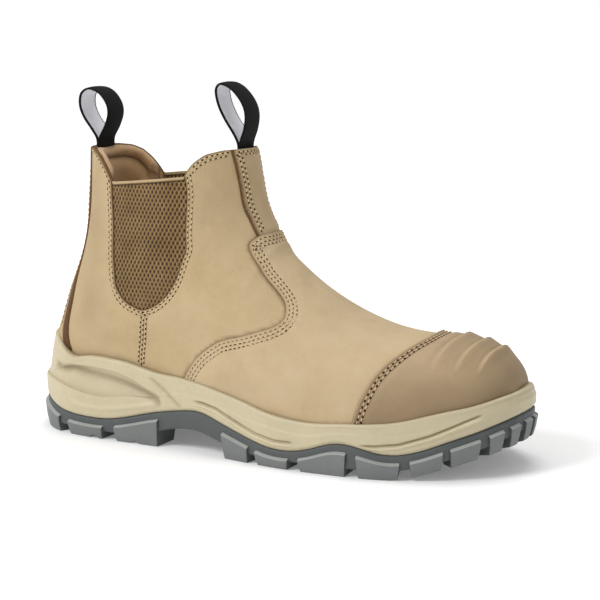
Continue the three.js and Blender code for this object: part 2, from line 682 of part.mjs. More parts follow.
function midsoleSolid() {
  const block = outlineStack([
    (at) => ({ inset: TRAY_INSET + GAP, height: at.floor + GAP }),
    (at) => ({ inset: TRAY_INSET + GAP, height: at.join + GAP }),
    (at) => ({ inset: PLATE_INSET + TRAY_BEVEL, height: at.join + GAP }),
    (at) => ({ inset: BAND_INSET, height: at.join + BAND_ROUND }),
    (at) => ({ inset: BAND_INSET - at.out, height: at.ledge - LEDGE_ROUND }),
    (at) => ({ inset: PLATE_INSET + LEDGE_ROUND + at.recess, height: at.ledge + LEDGE_ROUND }),
    (at) => ({ inset: PLATE_INSET + 2 * at.recess, height: at.crest - CREST_ROUND }),
    (at) => ({ inset: mix(PLATE_INSET, at.lean, 0.3), height: at.crest + CREST_ROUND }),
    (at) => ({ inset: mix(PLATE_INSET, at.lean, 0.7), height: mix(at.crest, at.rim, 0.6) }),
    (at) => ({ inset: at.lean, height: at.rim - RIM_ROUND }),
    (at) => ({ inset: at.lean + RIM_ROUND, height: at.rim }),
  ]);
  const cup = fineForm(cupLift);
  const footing = bottomOpening(GAP, WALL).intersect(block).subtract(coarseForm(-WALL));
  return block.subtract(cup).add(footing);
}

// A line in side view, from shares to millimetres.
const sideLine = (rows) => rows.map(([x, z]) => [upperX(x), z * COLLAR_HEIGHT]);

// The whole upper's side view outline above the collar, to be cut away.
function collarCut(drop) {
  const high = 1.4 * COLLAR_HEIGHT;
  const line = sideLine([...COLLAR_LINE, ...COLLAR_FRONT_LINE]);
  const points = line.map(([x, z]) => [x, z - drop]);
  const first = points[0];
  const last = points[points.length - 1];
  return sidePrism([[first[0] - UPPER_LENGTH, first[1]], ...points,
    [last[0] + UPPER_LENGTH, last[1]], [last[0] + UPPER_LENGTH, high],
    [first[0] - UPPER_LENGTH, high]], THROUGH);
}

// The gore window in side view, opened upwards past the collar and moved out by the growth.
function windowPrism(growth) {
  const line = sideLine(WINDOW_LINE);
  const moved = line.map((point, i) => {
    const before = line[Math.max(i - 1, 0)];
    const after = line[Math.min(i + 1, line.length - 1)];
    const along = new THREE.Vector2(after[0] - before[0], after[1] - before[1]).normalize();
    return [point[0] + along.y * growth, point[1] - along.x * growth];
  });
  const high = 1.2 * COLLAR_HEIGHT;
  const first = moved[0];
  const last = moved[moved.length - 1];
  return sidePrism([...moved, [last[0], high], [first[0], high]], THROUGH);
}

// How far the regions that bound a surface piece reach in and out from the last
const REGION_LIFTS = [-3, 8];

// The vamp's region of the boot's surface: a thick dome from the toe tip to the vamp's edge.
const VAMP_SHARES = [0.06, 0.2, 0.35, 0.48, 0.59, 0.68, 0.76, 0.84, 0.92, 1];
function vampRegion() {
  const girths = [
    ...VAMP_GIRTHS.slice(1).reverse().map((girth) => -girth),
    ...VAMP_GIRTHS.slice(0, -1),
  ];
  const shares = VAMP_SHARES.map((share) => (girth) =>
    share * vampEdge(Math.abs(girth)).station);
  const [low, high] = REGION_LIFTS.map((lift) => domeRings(shares, girths, () => lift));
  const count = girths.length;
  const rings = [...high, ...[...low].reverse()];
  const points = [...rings.flat(), tipPoint(REGION_LIFTS[1]), tipPoint(REGION_LIFTS[0])];
  const highTip = points.length - 2;
  const lowTip = points.length - 1;
  const triangles = [];
  for (let k = 0; k < rings.length - 1; k += 1) {
    for (let i = 0; i < count; i += 1) {
      const a = k * count + i;
      const b = k * count + ((i + 1) % count);
      triangles.push([a, b, b + count], [a, b + count, a + count]);
    }
  }
  const offset = (rings.length - 1) * count;
  for (let i = 0; i < count; i += 1) {
    triangles.push([highTip, (i + 1) % count, i]);
    triangles.push([lowTip, i + offset, ((i + 1) % count) + offset]);
  }
  return solidOf(points, triangles);
}

function upperSolid() {
  const vamp = fineForm(() => VAMP_STEP).intersect(vampRegion());
  return fineForm(() => 0)
    .add(vamp)
    .subtract(coarseForm(-WALL))
    .subtract(collarCut(0))
    .subtract(windowPrism(0))
    .subtract(bottomOpening(0, 2 * WALL));
}

// The height of the last's bottom line at a place along the sole.
function seatHeight(x) {
  let low = 0;
  let high = HEEL_STATION;
  for (let i = 0; i < 30; i += 1) {
    const station = (low + high) / 2;
    if (lastPoint(station, 1).x > x) low = station;
    else high = station;
  }
  return lastPoint(low, 1).z;
}

function insoleSolid() {
  const bed = outlineStack([
    () => ({ inset: 0, height: 0 }),
    (at) => ({ inset: 0, height: seatHeight(at.x) + WALL + FOOTBED }),
  ]);
  return coarseForm(-WALL - GAP).intersect(bed);
}

// The toe cap's outer face: three crescent ridges, each rising from the toe side and
// dropping sharply on the heel side.
const RIDGE_CRESTS = [2.72, 3.45, 4.2];
const RIDGE_RUN = 0.62;
const RIDGE_DROP = 0.1;
const RIDGE_GIRTH = 0.37;
// The cap is thinner where it goes down into the cup.
const CAP_SKIVE = 0.6;
const SKIVE_GIRTHS = [0.38, 0.48];
const SKIVE_STATIONS = [0.4, 1.2];
const CAP_STATIONS = [
  0.4, 1, 1.8, 2.72, 2.82, 3.45, 3.55, 4.2, 4.3, 5.1, 6.4, 8,
];

function capLift(station, girth) {
  const base = VAMP_STEP + GAP + CAP_THICKNESS;
  const fade = Math.max(0, 1 - (girth / RIDGE_GIRTH) ** 2);
  let height = 0;
  for (const crest of RIDGE_CRESTS) {
    const past = station - crest;
    const share = past <= 0 ? 1 + past / RIDGE_RUN : 1 - past / RIDGE_DROP;
    height = Math.max(height, share);
  }
  const { smoothstep } = THREE.MathUtils;
  const buried = 1 - smoothstep(station, ...SKIVE_STATIONS);
  const skive = CAP_SKIVE * Math.max(buried, smoothstep(Math.abs(girth), ...SKIVE_GIRTHS));
  return base + CAP_RIDGE * fade * height - skive;
}

// The cap's region, in shares of its edge's station and in facets on each side
const CAP_SHARES = [0.06, 0.25, 0.5, 0.75, 1];
const CAP_FACETS = 10;

function toeCapSolid() {
  const outer = form(CAP_STATIONS, evenGirths(FINE_GIRTHS), capLift);
  const girths = [];
  for (let i = -CAP_FACETS; i <= CAP_FACETS; i += 1) girths.push((i / CAP_FACETS) * CAP_GIRTH);
  const region = sheet(girths, (girth) => {
    const edge = capEdge(Math.abs(girth)).station;
    return CAP_SHARES.map((share) => share * edge);
  }, ...REGION_LIFTS);
  const below = outlineStack([
    () => ({ inset: 0, height: 0 }),
    (at) => ({ inset: 0, height: at.rim - CAP_SEAT }),
  ]);
  return outer.intersect(region).subtract(fineForm(() => VAMP_STEP + GAP)).subtract(below);
}

// A strip between two forms, inside a sheet of the surface.
function stripSolid(region) {
  return fineForm(() => GAP + STRIP_THICKNESS)
    .intersect(region)
    .subtract(fineForm(() => GAP))
    .subtract(collarCut(0));
}

// The front strip's lower end, at the vamp's tongue, and its facets up to the collar
const STRIP_START = 11.15;
const STRIP_FACETS = 8;

function frontStripSolid() {
  const shares = [-1, -0.5, 0, 0.5, 1];
  const stations = [];
  for (let i = 0; i <= STRIP_FACETS; i += 1) {
    stations.push(mix(STRIP_START, LAST_STATION, i / STRIP_FACETS));
  }
  const region = gridSheet(shares, stations, (share, station) =>
    share * frontStrip(station).half);
  return stripSolid(region);
}

function backStripSolid() {
  const shares = [-1, -0.7, -0.35, 0, 0.35, 0.7, 1];
  const stations = [13.35, 13.9, 14.5, 15.2, 16, 16.8, 17.6, 18.5, 19.5, 20.6, LAST_STATION];
  const region = gridSheet(shares, stations, (share, station) =>
    1 + share * backStrip(station).half);
  return stripSolid(region);
}

// A thick sheet whose girths widen and narrow from station to station.
function gridSheet(shares, stations, girthAt) {
  return closedGrid(REGION_LIFTS.map((lift) => shares.map((share) =>
    stations.map((station) => bootPoint(station, girthAt(share, station), lift)))));
}

// The half of space on one side of the boot.
function halfSpace(side) {
  const block = new THREE.BoxGeometry(2 * SOLE_LENGTH, THROUGH, 3 * COLLAR_HEIGHT);
  block.translate(SOLE_LENGTH / 2, (side * THROUGH) / 2, COLLAR_HEIGHT);
  return solidFromGeometry(block);
}

function goreSolid(side) {
  return fineForm(() => -GORE_RECESS)
    .subtract(fineForm(() => -GORE_RECESS - GORE_THICKNESS))
    .intersect(windowPrism(-GAP))
    .subtract(collarCut(GAP))
    .intersect(halfSpace(side));
}

// How far the padded collar stays below the upper's edge
const PAD_DROP = 0.8;
// How far the faceted inner wall stands in from its true curve
const WALL_SLACK = 1.2;

// The padded collar behind or in front of the gores, from its lower edge to just under the
// upper's edge, with a slot for the pull loop's foot.
function liningSolid(atRear) {
  const middle = upperX(mix(WINDOW_LINE[0][0], COLLAR_FRONT_LINE[0][0], 0.5));
  const low = COLLAR_HEIGHT - PAD_DEPTH;
  const [from, to] = atRear ? [0, middle] : [middle, UPPER_LENGTH];
  const band = sidePrism([[from, low], [to, low], [to, 2 * COLLAR_HEIGHT],
    [from, 2 * COLLAR_HEIGHT]], THROUGH);
  const place = loopPlace(atRear);
  const depth = LOOP_TUCK + GAP;
  const lean = place.lean * depth;
  const thick = WEBBING + GAP;
  const slot = sidePrism([
    [place.x + lean - thick, place.z - depth],
    [place.x + lean + thick, place.z - depth],
    [place.x - lean + thick, place.z + depth],
    [place.x - lean - thick, place.z + depth],
  ], LOOP_WIDTH / 2 + GAP);
  return coarseForm(-WALL - GAP)
    .subtract(coarseForm(-WALL - GAP - PAD_THICKNESS))
    .intersect(band)
    .subtract(windowPrism(GAP))
    .subtract(collarCut(PAD_DROP))
    .subtract(slot);
}

// Where a loop's foot stands: behind the upper's wall, clear of its curve across the webbing.
// Its lean is how far the wall moves forward for each millimetre down.
function loopPlace(atRear) {
  const girth = atRear ? 1 : 0;
  const station = stationAtHeight(girth, COLLAR_HEIGHT);
  const wall = bootPoint(station, girth, -WALL).x;
  const [foot, top] = COARSE_STATIONS.slice(-2).map((each) => lastPoint(each, girth));
  const lean = (foot.x - top.x) / (top.z - foot.z);
  const facet = 2 / COARSE_GIRTHS;
  const beside = bootPoint(station, atRear ? 1 - facet : facet, -WALL);
  const sag = (Math.abs(beside.x - wall) * (LOOP_WIDTH / 2 + GAP)) / Math.abs(beside.y);
  const inward = atRear ? 1 : -1;
  return { x: wall + inward * (sag + WALL_SLACK + GAP + WEBBING), z: COLLAR_HEIGHT, lean };
}

// The station at which a line along the last reaches a height, above the ankle.
function stationAtHeight(girth, height) {
  let low = LAST_STATION / 2;
  let high = LAST_STATION;
  for (let i = 0; i < 30; i += 1) {
    const station = (low + high) / 2;
    if (lastPoint(station, girth).z < height) low = station;
    else high = station;
  }
  return low;
}

// A loop's facets, and where its hole begins and ends along them
const LOOP_SEGMENTS = 20;
const HOLE_START = 2;

// A webbing loop: a band round a teardrop, closed at the foot and tucked into the collar.
function pullLoopSolid(atRear) {
  const place = loopPlace(atRear);
  const lean = place.lean * LOOP_TUCK;
  const centre = new THREE.SplineCurve(LOOP_LINE.map(([x, z]) => new THREE.Vector2(
    x * LOOP_SPAN - LOOP_LEAN * z * LOOP_HEIGHT * z,
    z * LOOP_HEIGHT,
  ))).getSpacedPoints(LOOP_SEGMENTS);
  const offset = (i, distance) => {
    const before = centre[Math.max(i - 1, 0)];
    const after = centre[Math.min(i + 1, LOOP_SEGMENTS)];
    const along = after.clone().sub(before).normalize();
    return new THREE.Vector2(
      centre[i].x + along.y * distance,
      centre[i].y - along.x * distance,
    );
  };
  const outer = centre.map((_, i) => offset(i, WEBBING / 2));
  const hole = centre.slice(HOLE_START, -HOLE_START).map((_, i) =>
    offset(i + HOLE_START, -WEBBING / 2));
  outer[0].set(WEBBING, 0);
  outer[LOOP_SEGMENTS].set(-WEBBING, 0);
  const shape = new THREE.Shape([
    new THREE.Vector2(lean + WEBBING, -LOOP_TUCK),
    ...outer,
    new THREE.Vector2(lean - WEBBING, -LOOP_TUCK),
  ]);
  shape.holes.push(new THREE.Path(hole));
  const geometry = new THREE.ExtrudeGeometry(shape, { depth: LOOP_WIDTH, bevelEnabled: false });
  geometry.translate(0, 0, -LOOP_WIDTH / 2);
  geometry.rotateX(Math.PI / 2);
  geometry.translate(place.x, 0, place.z);
  return solidFromGeometry(geometry);
}

function material(color, roughness) {
  return new THREE.MeshStandardMaterial({ color, roughness, metalness: 0 });
}
const nubuck = material(0xc8b28c, 0.85);
const capRubber = material(0xa88b6a, 0.6);
const foam = material(0xcfc3a0, 0.65);
const rubber = material(0x767977, 0.75);
const elastic = material(0x84694a, 0.9);
const liner = material(0x9a7a55, 0.9);
const webbing = material(0x161616, 0.8);

const pieces = [
  ["outsole", outsoleSolid(), rubber],
  ["midsole", midsoleSolid(), foam],
  ["upper", upperSolid(), nubuck],
  ["insole", insoleSolid(), liner],
  ["toe_cap", toeCapSolid(), capRubber],
  ["front_strip", frontStripSolid(), nubuck],
  ["back_strip", backStripSolid(), nubuck],
  ["gore_lateral", goreSolid(OUTER), elastic],
  ["gore_medial", goreSolid(INNER), elastic],
  ["collar_lining_rear", liningSolid(true), liner],
  ["collar_lining_front", liningSolid(false), liner],
  ["pull_loop_rear", pullLoopSolid(true), webbing],
  ["pull_loop_front", pullLoopSolid(false), webbing],
];

const boot = new THREE.Group();
for (const [name, solid, finish] of pieces) {
  const mesh = new THREE.Mesh(geometryOf(solid), finish);
  mesh.name = name;
  boot.add(mesh);
}

// The origin is under the middle of the boot's box, on the ground.
const box = new THREE.Box3().setFromObject(boot);
const centre = box.getCenter(new THREE.Vector3());
boot.position.set(-centre.x, -centre.y, -box.min.z);

export default boot;
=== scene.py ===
"""The looks of a side gore work boot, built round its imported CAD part.

The boot's surface is the same last as in the part's source: a fan of sections given by a
station from the toe tip (0) to above the collar (22) and a girth from -1 to 1, with 0 on the
top line, negative on the outer side, and 1 or -1 on the bottom or back line. A place is such a
pair, and panels, seams and stitches are laid out in places. Lengths are millimetres until a
mesh is made. A gap is a distance over the surface from the edges of a panel that show.
"""

import math
import random

import bpy
import numpy as np
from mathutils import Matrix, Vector
from mathutils.bvhtree import BVHTree
from mathutils.geometry import delaunay_2d_cdt
from mathutils.kdtree import KDTree


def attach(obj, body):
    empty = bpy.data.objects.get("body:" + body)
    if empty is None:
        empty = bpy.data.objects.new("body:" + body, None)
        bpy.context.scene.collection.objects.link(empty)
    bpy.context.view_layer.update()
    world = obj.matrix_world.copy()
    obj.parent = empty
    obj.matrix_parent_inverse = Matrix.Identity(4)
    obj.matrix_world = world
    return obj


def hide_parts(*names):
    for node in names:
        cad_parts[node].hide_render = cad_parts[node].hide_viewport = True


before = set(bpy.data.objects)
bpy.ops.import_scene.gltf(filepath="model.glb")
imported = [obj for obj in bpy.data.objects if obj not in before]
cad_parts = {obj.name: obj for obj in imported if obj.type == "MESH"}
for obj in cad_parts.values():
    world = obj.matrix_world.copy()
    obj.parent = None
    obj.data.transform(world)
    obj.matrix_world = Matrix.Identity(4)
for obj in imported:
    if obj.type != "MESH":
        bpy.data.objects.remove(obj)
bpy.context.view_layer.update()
random.seed(7)

# Sizes of the real boot, as in the part's source
UPPER_LENGTH = 287.5
BALL_WIDTH = 102.0
INSTEP_HEIGHT = 117.0
HEEL_HEIGHT = 34.0
COLLAR_HEIGHT = 171.0
HEEL_REACH = 8.0
TOE_REACH = 9.5
SIDE_REACH = 5.0
SOLE_LENGTH = HEEL_REACH + UPPER_LENGTH + TOE_REACH
SOLE_WIDTH = BALL_WIDTH + 2 * SIDE_REACH
WALL = 2.4
VAMP_LIFT = 1.1
CAP_LIFT = 3.2
CAP_RIDGE = 1.9
STRIP_LIFT = 1.4
GORE_RECESS = 1.0
GORE_THICKNESS = 1.2
LOOP_WIDTH = 18.0
WEBBING = 1.3
PLATE_INSET = 2.0
GAP = 0.3

# The middle of the boot's box in these terms, which is the part's origin
ORIGIN = np.array([152.667, -0.286, 0.0])
OUTER, INNER = SIDES = (-1, 1)
SIDE_NAMES = {OUTER: "outer", INNER: "inner"}


def table(names, rows):
    """A table's columns as natural splines over its first column."""
    names = names.split()[1:]
    data = np.array(rows, float)
    knots, columns = data[:, 0], data[:, 1:]
    matrix = np.eye(len(knots))
    right = np.zeros_like(columns)
    for i in range(1, len(knots) - 1):
        before = knots[i] - knots[i - 1]
        after = knots[i + 1] - knots[i]
        matrix[i, i - 1:i + 2] = before, 2 * (before + after), after
        right[i] = 6 * ((columns[i + 1] - columns[i]) / after
                        - (columns[i] - columns[i - 1]) / before)
    bends = np.linalg.solve(matrix, right)

    def at(place):
        place = np.clip(np.asarray(place, float), knots[0], knots[-1])
        i = np.clip(np.searchsorted(knots, place, side="right") - 1, 0, len(knots) - 2)
        step = knots[i + 1] - knots[i]
        b = ((place - knots[i]) / step)[..., None]
        a = 1 - b
        bend = (a ** 3 - a) * bends[i] + (b ** 3 - b) * bends[i + 1]
        value = a * columns[i] + b * columns[i + 1] + bend * (step ** 2)[..., None] / 6
        return {name: value[..., k] for k, name in enumerate(names)}

    return at


LAST_STATION = 22
last_row = table(
    "station topX topRise backX backRise outer inner middle widest topCurve lowCurve",
    [
        [0, 1.0, 0.342, 1.0, 1.044, 0, 0, 0.059, 0.45, 2.2, 2.6],
        [1, 0.996, 0.421, 0.991, 0.97, 0.127, 0.142, 0.059, 0.42, 2.2, 2.8],
        [2, 0.976, 0.494, 0.967, 0.853, 0.23, 0.25, 0.057, 0.38, 2.2, 3.2],
        [3, 0.945, 0.546, 0.932, 0.759, 0.319, 0.328, 0.051, 0.34, 2.2, 3.6],
        [4, 0.899, 0.575, 0.885, 0.671, 0.397, 0.397, 0.039, 0.31, 2.2, 4.0],
        [5, 0.837, 0.593, 0.826, 0.594, 0.456, 0.451, 0.022, 0.29, 2.15, 4.2],
        [6, 0.76, 0.615, 0.753, 0.538, 0.49, 0.483, 0.008, 0.28, 2.05, 4.4],
        [7, 0.677, 0.682, 0.677, 0.515, 0.498, 0.488, 0, 0.27, 1.95, 4.6],
        [8, 0.595, 0.795, 0.593, 0.535, 0.485, 0.461, 0, 0.26, 1.85, 4.6],
        [9, 0.539, 0.909, 0.499, 0.624, 0.454, 0.422, 0, 0.27, 1.8, 4.4],
        [10, 0.511, 1.0, 0.39, 0.753, 0.417, 0.387, 0, 0.3, 1.85, 4.2],
        [11, 0.487, 1.185, 0.271, 0.865, 0.39, 0.373, 0, 0.34, 1.9, 3.8],
        [12, 0.476, 1.315, 0.15, 0.924, 0.376, 0.365, 0, 0.38, 1.92, 3.4],
        [13, 0.47, 1.411, 0.049, 0.994, 0.367, 0.359, 0, 0.42, 1.93, 3.0],
        [14, 0.465, 1.5, 0.009, 1.088, 0.361, 0.355, 0, 0.45, 1.93, 2.7],
        [15, 0.461, 1.583, 0.017, 1.197, 0.355, 0.351, 0, 0.47, 1.93, 2.5],
        [16, 0.457, 1.667, 0.038, 1.328, 0.35, 0.347, 0, 0.49, 1.93, 2.4],
        [17, 0.453, 1.756, 0.06, 1.467, 0.345, 0.344, 0, 0.5, 1.93, 2.3],
        [18, 0.4495, 1.848, 0.078, 1.606, 0.342, 0.341, 0, 0.51, 1.93, 2.3],
        [19, 0.4445, 1.944, 0.086, 1.745, 0.339, 0.339, 0, 0.52, 1.93, 2.3],
        [20, 0.4395, 2.046, 0.09, 1.883, 0.338, 0.338, 0, 0.52, 1.93, 2.3],
        [21, 0.435, 2.167, 0.092, 2.022, 0.338, 0.338, 0, 0.52, 1.93, 2.3],
        [22, 0.4295, 2.315, 0.094, 2.153, 0.338, 0.338, 0, 0.52, 1.93, 2.3],
    ],
)
vamp_edge = table("girth station", [
    [0, 10.62], [0.04, 10.68], [0.085, 10.88], [0.12, 10.96], [0.148, 10.82], [0.162, 10.4],
    [0.172, 9.9], [0.182, 9.25], [0.197, 8.7], [0.225, 8.42], [0.262, 8.35], [0.312, 8.5],
    [0.367, 8.92], [0.418, 9.4], [0.463, 9.82], [0.523, 10.15], [0.583, 10.35], [0.64, 10.42],
    [1, 10.42],
])
cap_edge = table("girth station", [
    [0, 5.02], [0.1, 5.08], [0.19, 5.27], [0.267, 5.49], [0.332, 5.7], [0.438, 5.96],
    [0.508, 6.09], [0.558, 6.17], [0.66, 6.25],
])
front_strip = table("station half", [
    [10.5, 0.1], [12.3, 0.081], [14.3, 0.081], [16.3, 0.091], [18, 0.106], [20, 0.12], [22, 0.13],
])
back_strip = table("station half", [
    [13.2, 0.2], [14.2, 0.215], [15, 0.2], [15.8, 0.175], [16.7, 0.135], [17.7, 0.115],
    [18.6, 0.135], [19.6, 0.138], [20.4, 0.12], [22, 0.11],
])

# The collar and the gore's window in side view, as shares of the upper's length and height
COLLAR_LINE = np.array([
    (0.02, 0.988), (0.104, 0.988), (0.122, 0.982), (0.14, 0.967), (0.158, 0.938), (0.171, 0.91),
    (0.181, 0.883), (0.349, 0.912), (0.354, 0.936), (0.367, 0.961), (0.386, 0.984),
    (0.414, 0.997), (0.463, 1.0), (0.55, 1.0),
])
WINDOW_LINE = [
    (0.181, 0.883), (0.185, 0.79), (0.189, 0.672), (0.194, 0.585), (0.203, 0.52),
    (0.217, 0.489), (0.237, 0.47), (0.26, 0.459), (0.285, 0.472), (0.307, 0.498),
    (0.323, 0.53), (0.336, 0.575), (0.344, 0.63), (0.35, 0.69), (0.352, 0.82), (0.349, 0.912),
]


def unit(ways):
    return ways / np.maximum(np.linalg.norm(ways, axis=-1, keepdims=True), 1e-9)


def smoothstep(value, low, high):
    share = np.clip((value - low) / (high - low), 0, 1)
    return share * share * (3 - 2 * share)


def bump(value, middle, width):
    return np.exp(-((value - middle) / width) ** 2)


# The last, evaluated once on a fine grid and read from it by cubic interpolation
GRID_STEP = 0.1
GRID_GIRTHS = 256
SECTION_STEPS = 160


def section_points(station, side):
    """One side of each section: points by arc share from the top line to the bottom or back."""
    row = last_row(station)

    def line_end(x, share, height):
        rise = np.where(share <= 1, share * height, height + (share - 1) * (COLLAR_HEIGHT - height))
        return np.stack([HEEL_REACH + x * UPPER_LENGTH, rise])

    top = line_end(row["topX"], row["topRise"], INSTEP_HEIGHT)
    back = line_end(row["backX"], row["backRise"], HEEL_HEIGHT)
    angle = np.linspace(0, math.pi, SECTION_STEPS + 1)
    upper = angle <= math.pi / 2 + 1e-9
    power = 2 / np.where(upper, row["topCurve"][:, None], row["lowCurve"][:, None])
    reach = np.abs(np.cos(angle)) ** power
    widest = row["widest"][:, None]
    share = np.where(upper, widest + (1 - widest) * reach, widest * (1 - reach))
    half = BALL_WIDTH * row[SIDE_NAMES[side]]
    points = np.stack([
        back[0][:, None] + share * (top[0] - back[0])[:, None],
        BALL_WIDTH * row["middle"][:, None] + side * half[:, None] * np.abs(np.sin(angle)) ** power,
        back[1][:, None] + share * (top[1] - back[1])[:, None],
    ], axis=-1)
    shares = np.linspace(0, 1, GRID_GIRTHS // 2 + 1)
    return np.array([even(line, run_along(line), shares) for line in points])


def run_along(points):
    return np.concatenate([[0], np.linalg.norm(np.diff(points, axis=0), axis=1).cumsum()])


def even(line, run, shares):
    """A line's columns at shares of its run."""
    return np.stack([np.interp(shares * run[-1], run, column) for column in line.T], axis=1)


stations = np.arange(0, LAST_STATION + GRID_STEP / 2, GRID_STEP)
LAST = np.concatenate([section_points(stations, OUTER)[:, ::-1],
                       section_points(stations, INNER)[:, 1:-1]], axis=1)


def cubic_weights(f):
    """Weights of a cubic through four neighbours, and their slopes."""
    values = [
        -0.5 * f + f ** 2 - 0.5 * f ** 3, 1 - 2.5 * f ** 2 + 1.5 * f ** 3,
        0.5 * f + 2 * f ** 2 - 1.5 * f ** 3, -0.5 * f ** 2 + 0.5 * f ** 3,
    ]
    slopes = [
        -0.5 + 2 * f - 1.5 * f ** 2, -5 * f + 4.5 * f ** 2,
        0.5 + 4 * f - 4.5 * f ** 2, -f + 1.5 * f ** 2,
    ]
    return values, slopes


def surface(station, girth):
    """Points of the last with their slopes along the station and along the girth."""
    station, girth = np.broadcast_arrays(np.asarray(station, float), np.asarray(girth, float))
    rows = len(LAST) - 1
    a = np.clip(station / GRID_STEP, 0, rows - 1e-6)
    i = a.astype(int)
    b = (girth + 1) / 2 * GRID_GIRTHS
    j = np.floor(b).astype(int)
    along, along_slope = cubic_weights(a - i)
    around, around_slope = cubic_weights(b - j)
    point, by_station, by_girth = np.zeros((3, *station.shape, 3))
    for p in range(4):
        row = np.clip(i + p - 1, 0, rows)
        for q in range(4):
            value = LAST[row, (j + q - 1) % GRID_GIRTHS]
            point += value * (along[p] * around[q])[..., None]
            by_station += value * (along_slope[p] * around[q])[..., None]
            by_girth += value * (along[p] * around_slope[q])[..., None]
    return point, by_station / GRID_STEP, by_girth * GRID_GIRTHS / 2


def spots(places):
    return surface(places[:, 0], places[:, 1])[0]


def skin(station, girth, lift=0.0):
    """The boot's surface, lifted from the last."""
    point, by_station, by_girth = surface(station, girth)
    return point + unit(np.cross(by_girth, by_station)) * np.asarray(lift, float)[..., None]


def place_in_side_view(points, side):
    """Station and girth of points in side view, on one side of the boot."""
    goal = np.array([(HEEL_REACH + x * UPPER_LENGTH, z * COLLAR_HEIGHT) for x, z in points])
    t, u = np.meshgrid(np.linspace(9, LAST_STATION, 131), side * np.linspace(0.08, 0.92, 85),
                       indexing="ij")
    known = surface(t, u)[0][..., [0, 2]]
    result = []
    for target in goal:
        nearest = np.argmin(((known - target) ** 2).sum(axis=-1))
        at = np.array([t.flat[nearest], u.flat[nearest]])
        for _ in range(12):
            point, by_station, by_girth = surface(*at)
            slopes = np.array([[by_station[0], by_girth[0]], [by_station[2], by_girth[2]]])
            at = at + np.linalg.solve(slopes, target - point[[0, 2]])
            at[0] = min(at[0], LAST_STATION - 0.01)
        result.append(at)
    return np.array(result)


def station_where(girth, low, height_at):
    """The station at which a line of one girth reaches a height that may depend on X."""
    high = float(LAST_STATION)
    for _ in range(40):
        middle = (low + high) / 2
        point = surface(middle, girth)[0]
        if point[2] < height_at(point[0]):
            low = middle
        else:
            high = middle
    return low


def dense_line(points, steps):
    """A smooth line through points, with a number of steps between each two."""
    points = np.asarray(points, float)
    nodes = [2 * points[0] - points[1], *points, 2 * points[-1] - points[-2]]
    weights = cubic_weights(np.linspace(0, 1, steps, endpoint=False))[0]
    spans = [sum(weight[:, None] * node for weight, node in zip(weights, nodes[k:k + 4]))
             for k in range(len(points) - 1)]
    return np.vstack(spans + [points[-1:]])


def resample(points, spacing):
    """A line through places on the surface, with even steps along it."""
    line = dense_line(points, 24)
    run = run_along(spots(line))
    return even(line, run, np.linspace(0, 1, max(2, int(round(run[-1] / spacing)) + 1)))


def shift(line, distance):
    """A line moved sideways over the surface, to the left as seen from outside."""
    line = np.array(line, float)
    count = max(1, int(math.ceil(abs(distance) / 1.2)))
    for _ in range(count):
        point, by_station, by_girth = surface(line[:, 0], line[:, 1])
        normal = unit(np.cross(by_girth, by_station))
        aside = np.cross(normal, unit(np.gradient(point, axis=0)))
        tt, uu, tu, at, au = ((a * b).sum(axis=1) for a, b in (
            (by_station, by_station), (by_girth, by_girth), (by_station, by_girth),
            (aside, by_station), (aside, by_girth)))
        step = np.stack([uu * at - tu * au, tt * au - tu * at], axis=1)
        line += step / np.maximum(tt * uu - tu ** 2, 1e-6)[:, None] * (distance / count)
    return line


def distance_to(line, places, closed=False):
    """Distance over the surface from each place to a line, and how far along the line it is."""
    points = spots(line)
    if closed:
        points = np.vstack([points, points[:1]])
    goal = spots(places)
    tree = KDTree(len(points))
    for k, point in enumerate(points):
        tree.insert(point, k)
    tree.balance()
    nearest = np.array([tree.find(point)[1] for point in goal])
    best = np.full(len(goal), 1e9)
    along = np.zeros(len(goal))
    for offset in (-1, 0):
        k = np.clip(nearest + offset, 0, len(points) - 2)
        run = points[k + 1] - points[k]
        share = ((goal - points[k]) * run).sum(axis=1) / np.maximum((run ** 2).sum(axis=1), 1e-9)
        share = np.clip(share, 0, 1)
        gap = np.linalg.norm(goal - points[k] - run * share[:, None], axis=1)
        along = np.where(gap < best, (k + share) / (len(points) - 1), along)
        best = np.minimum(gap, best)
    return best, along


def gap_to(lines, places):
    """Distance over the surface from each place to the nearest of the lines."""
    return np.min([distance_to(line, places)[0] for line in lines], axis=0)


# Meshes

def placed(name, data):
    item = bpy.data.objects.new(name, data)
    bpy.context.scene.collection.objects.link(item)
    return item


def make_piece(name, points, faces, materials, numbers=None, flat=None, tone=None,
               replaces=()):
    """A Blender object from points in millimetres, riding on the boot."""
    mesh = bpy.data.meshes.new(name)
    metres = (np.asarray(points) - ORIGIN) / 1000
    mesh.from_pydata([tuple(point) for point in metres.tolist()], [], faces)
    for material in materials:
        mesh.materials.append(material)
    if numbers is not None:
        mesh.polygons.foreach_set("material_index", np.asarray(numbers, dtype=np.int32))
    mesh.polygons.foreach_set("use_smooth", [True] * len(mesh.polygons))
    if flat is not None:
        layer = mesh.uv_layers.new(name="cloth")
        corners = np.empty(len(mesh.loops), dtype=np.int32)
        mesh.loops.foreach_get("vertex_index", corners)
        layer.data.foreach_set("uv", np.asarray(flat, np.float32)[corners].ravel())
    if tone is not None:
        attribute = mesh.attributes.new("tone", "FLOAT", "POINT")
        attribute.data.foreach_set("value", np.asarray(tone, np.float32))
    mesh.update()
    piece = placed(name, mesh)
    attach(piece, "root")
    if replaces:
        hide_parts(*replaces)
    return piece


def quads(rings, count):
    """Faces between closed rings of vertices."""
    return [(k * count + i, k * count + (i + 1) % count, (k + 1) * count + (i + 1) % count,
             (k + 1) * count + i) for k in range(rings - 1) for i in range(count)]


# Stations and girths are stretched to rough millimetres for laying out a panel's faces
PLANE = np.array([13.0, 125.0])


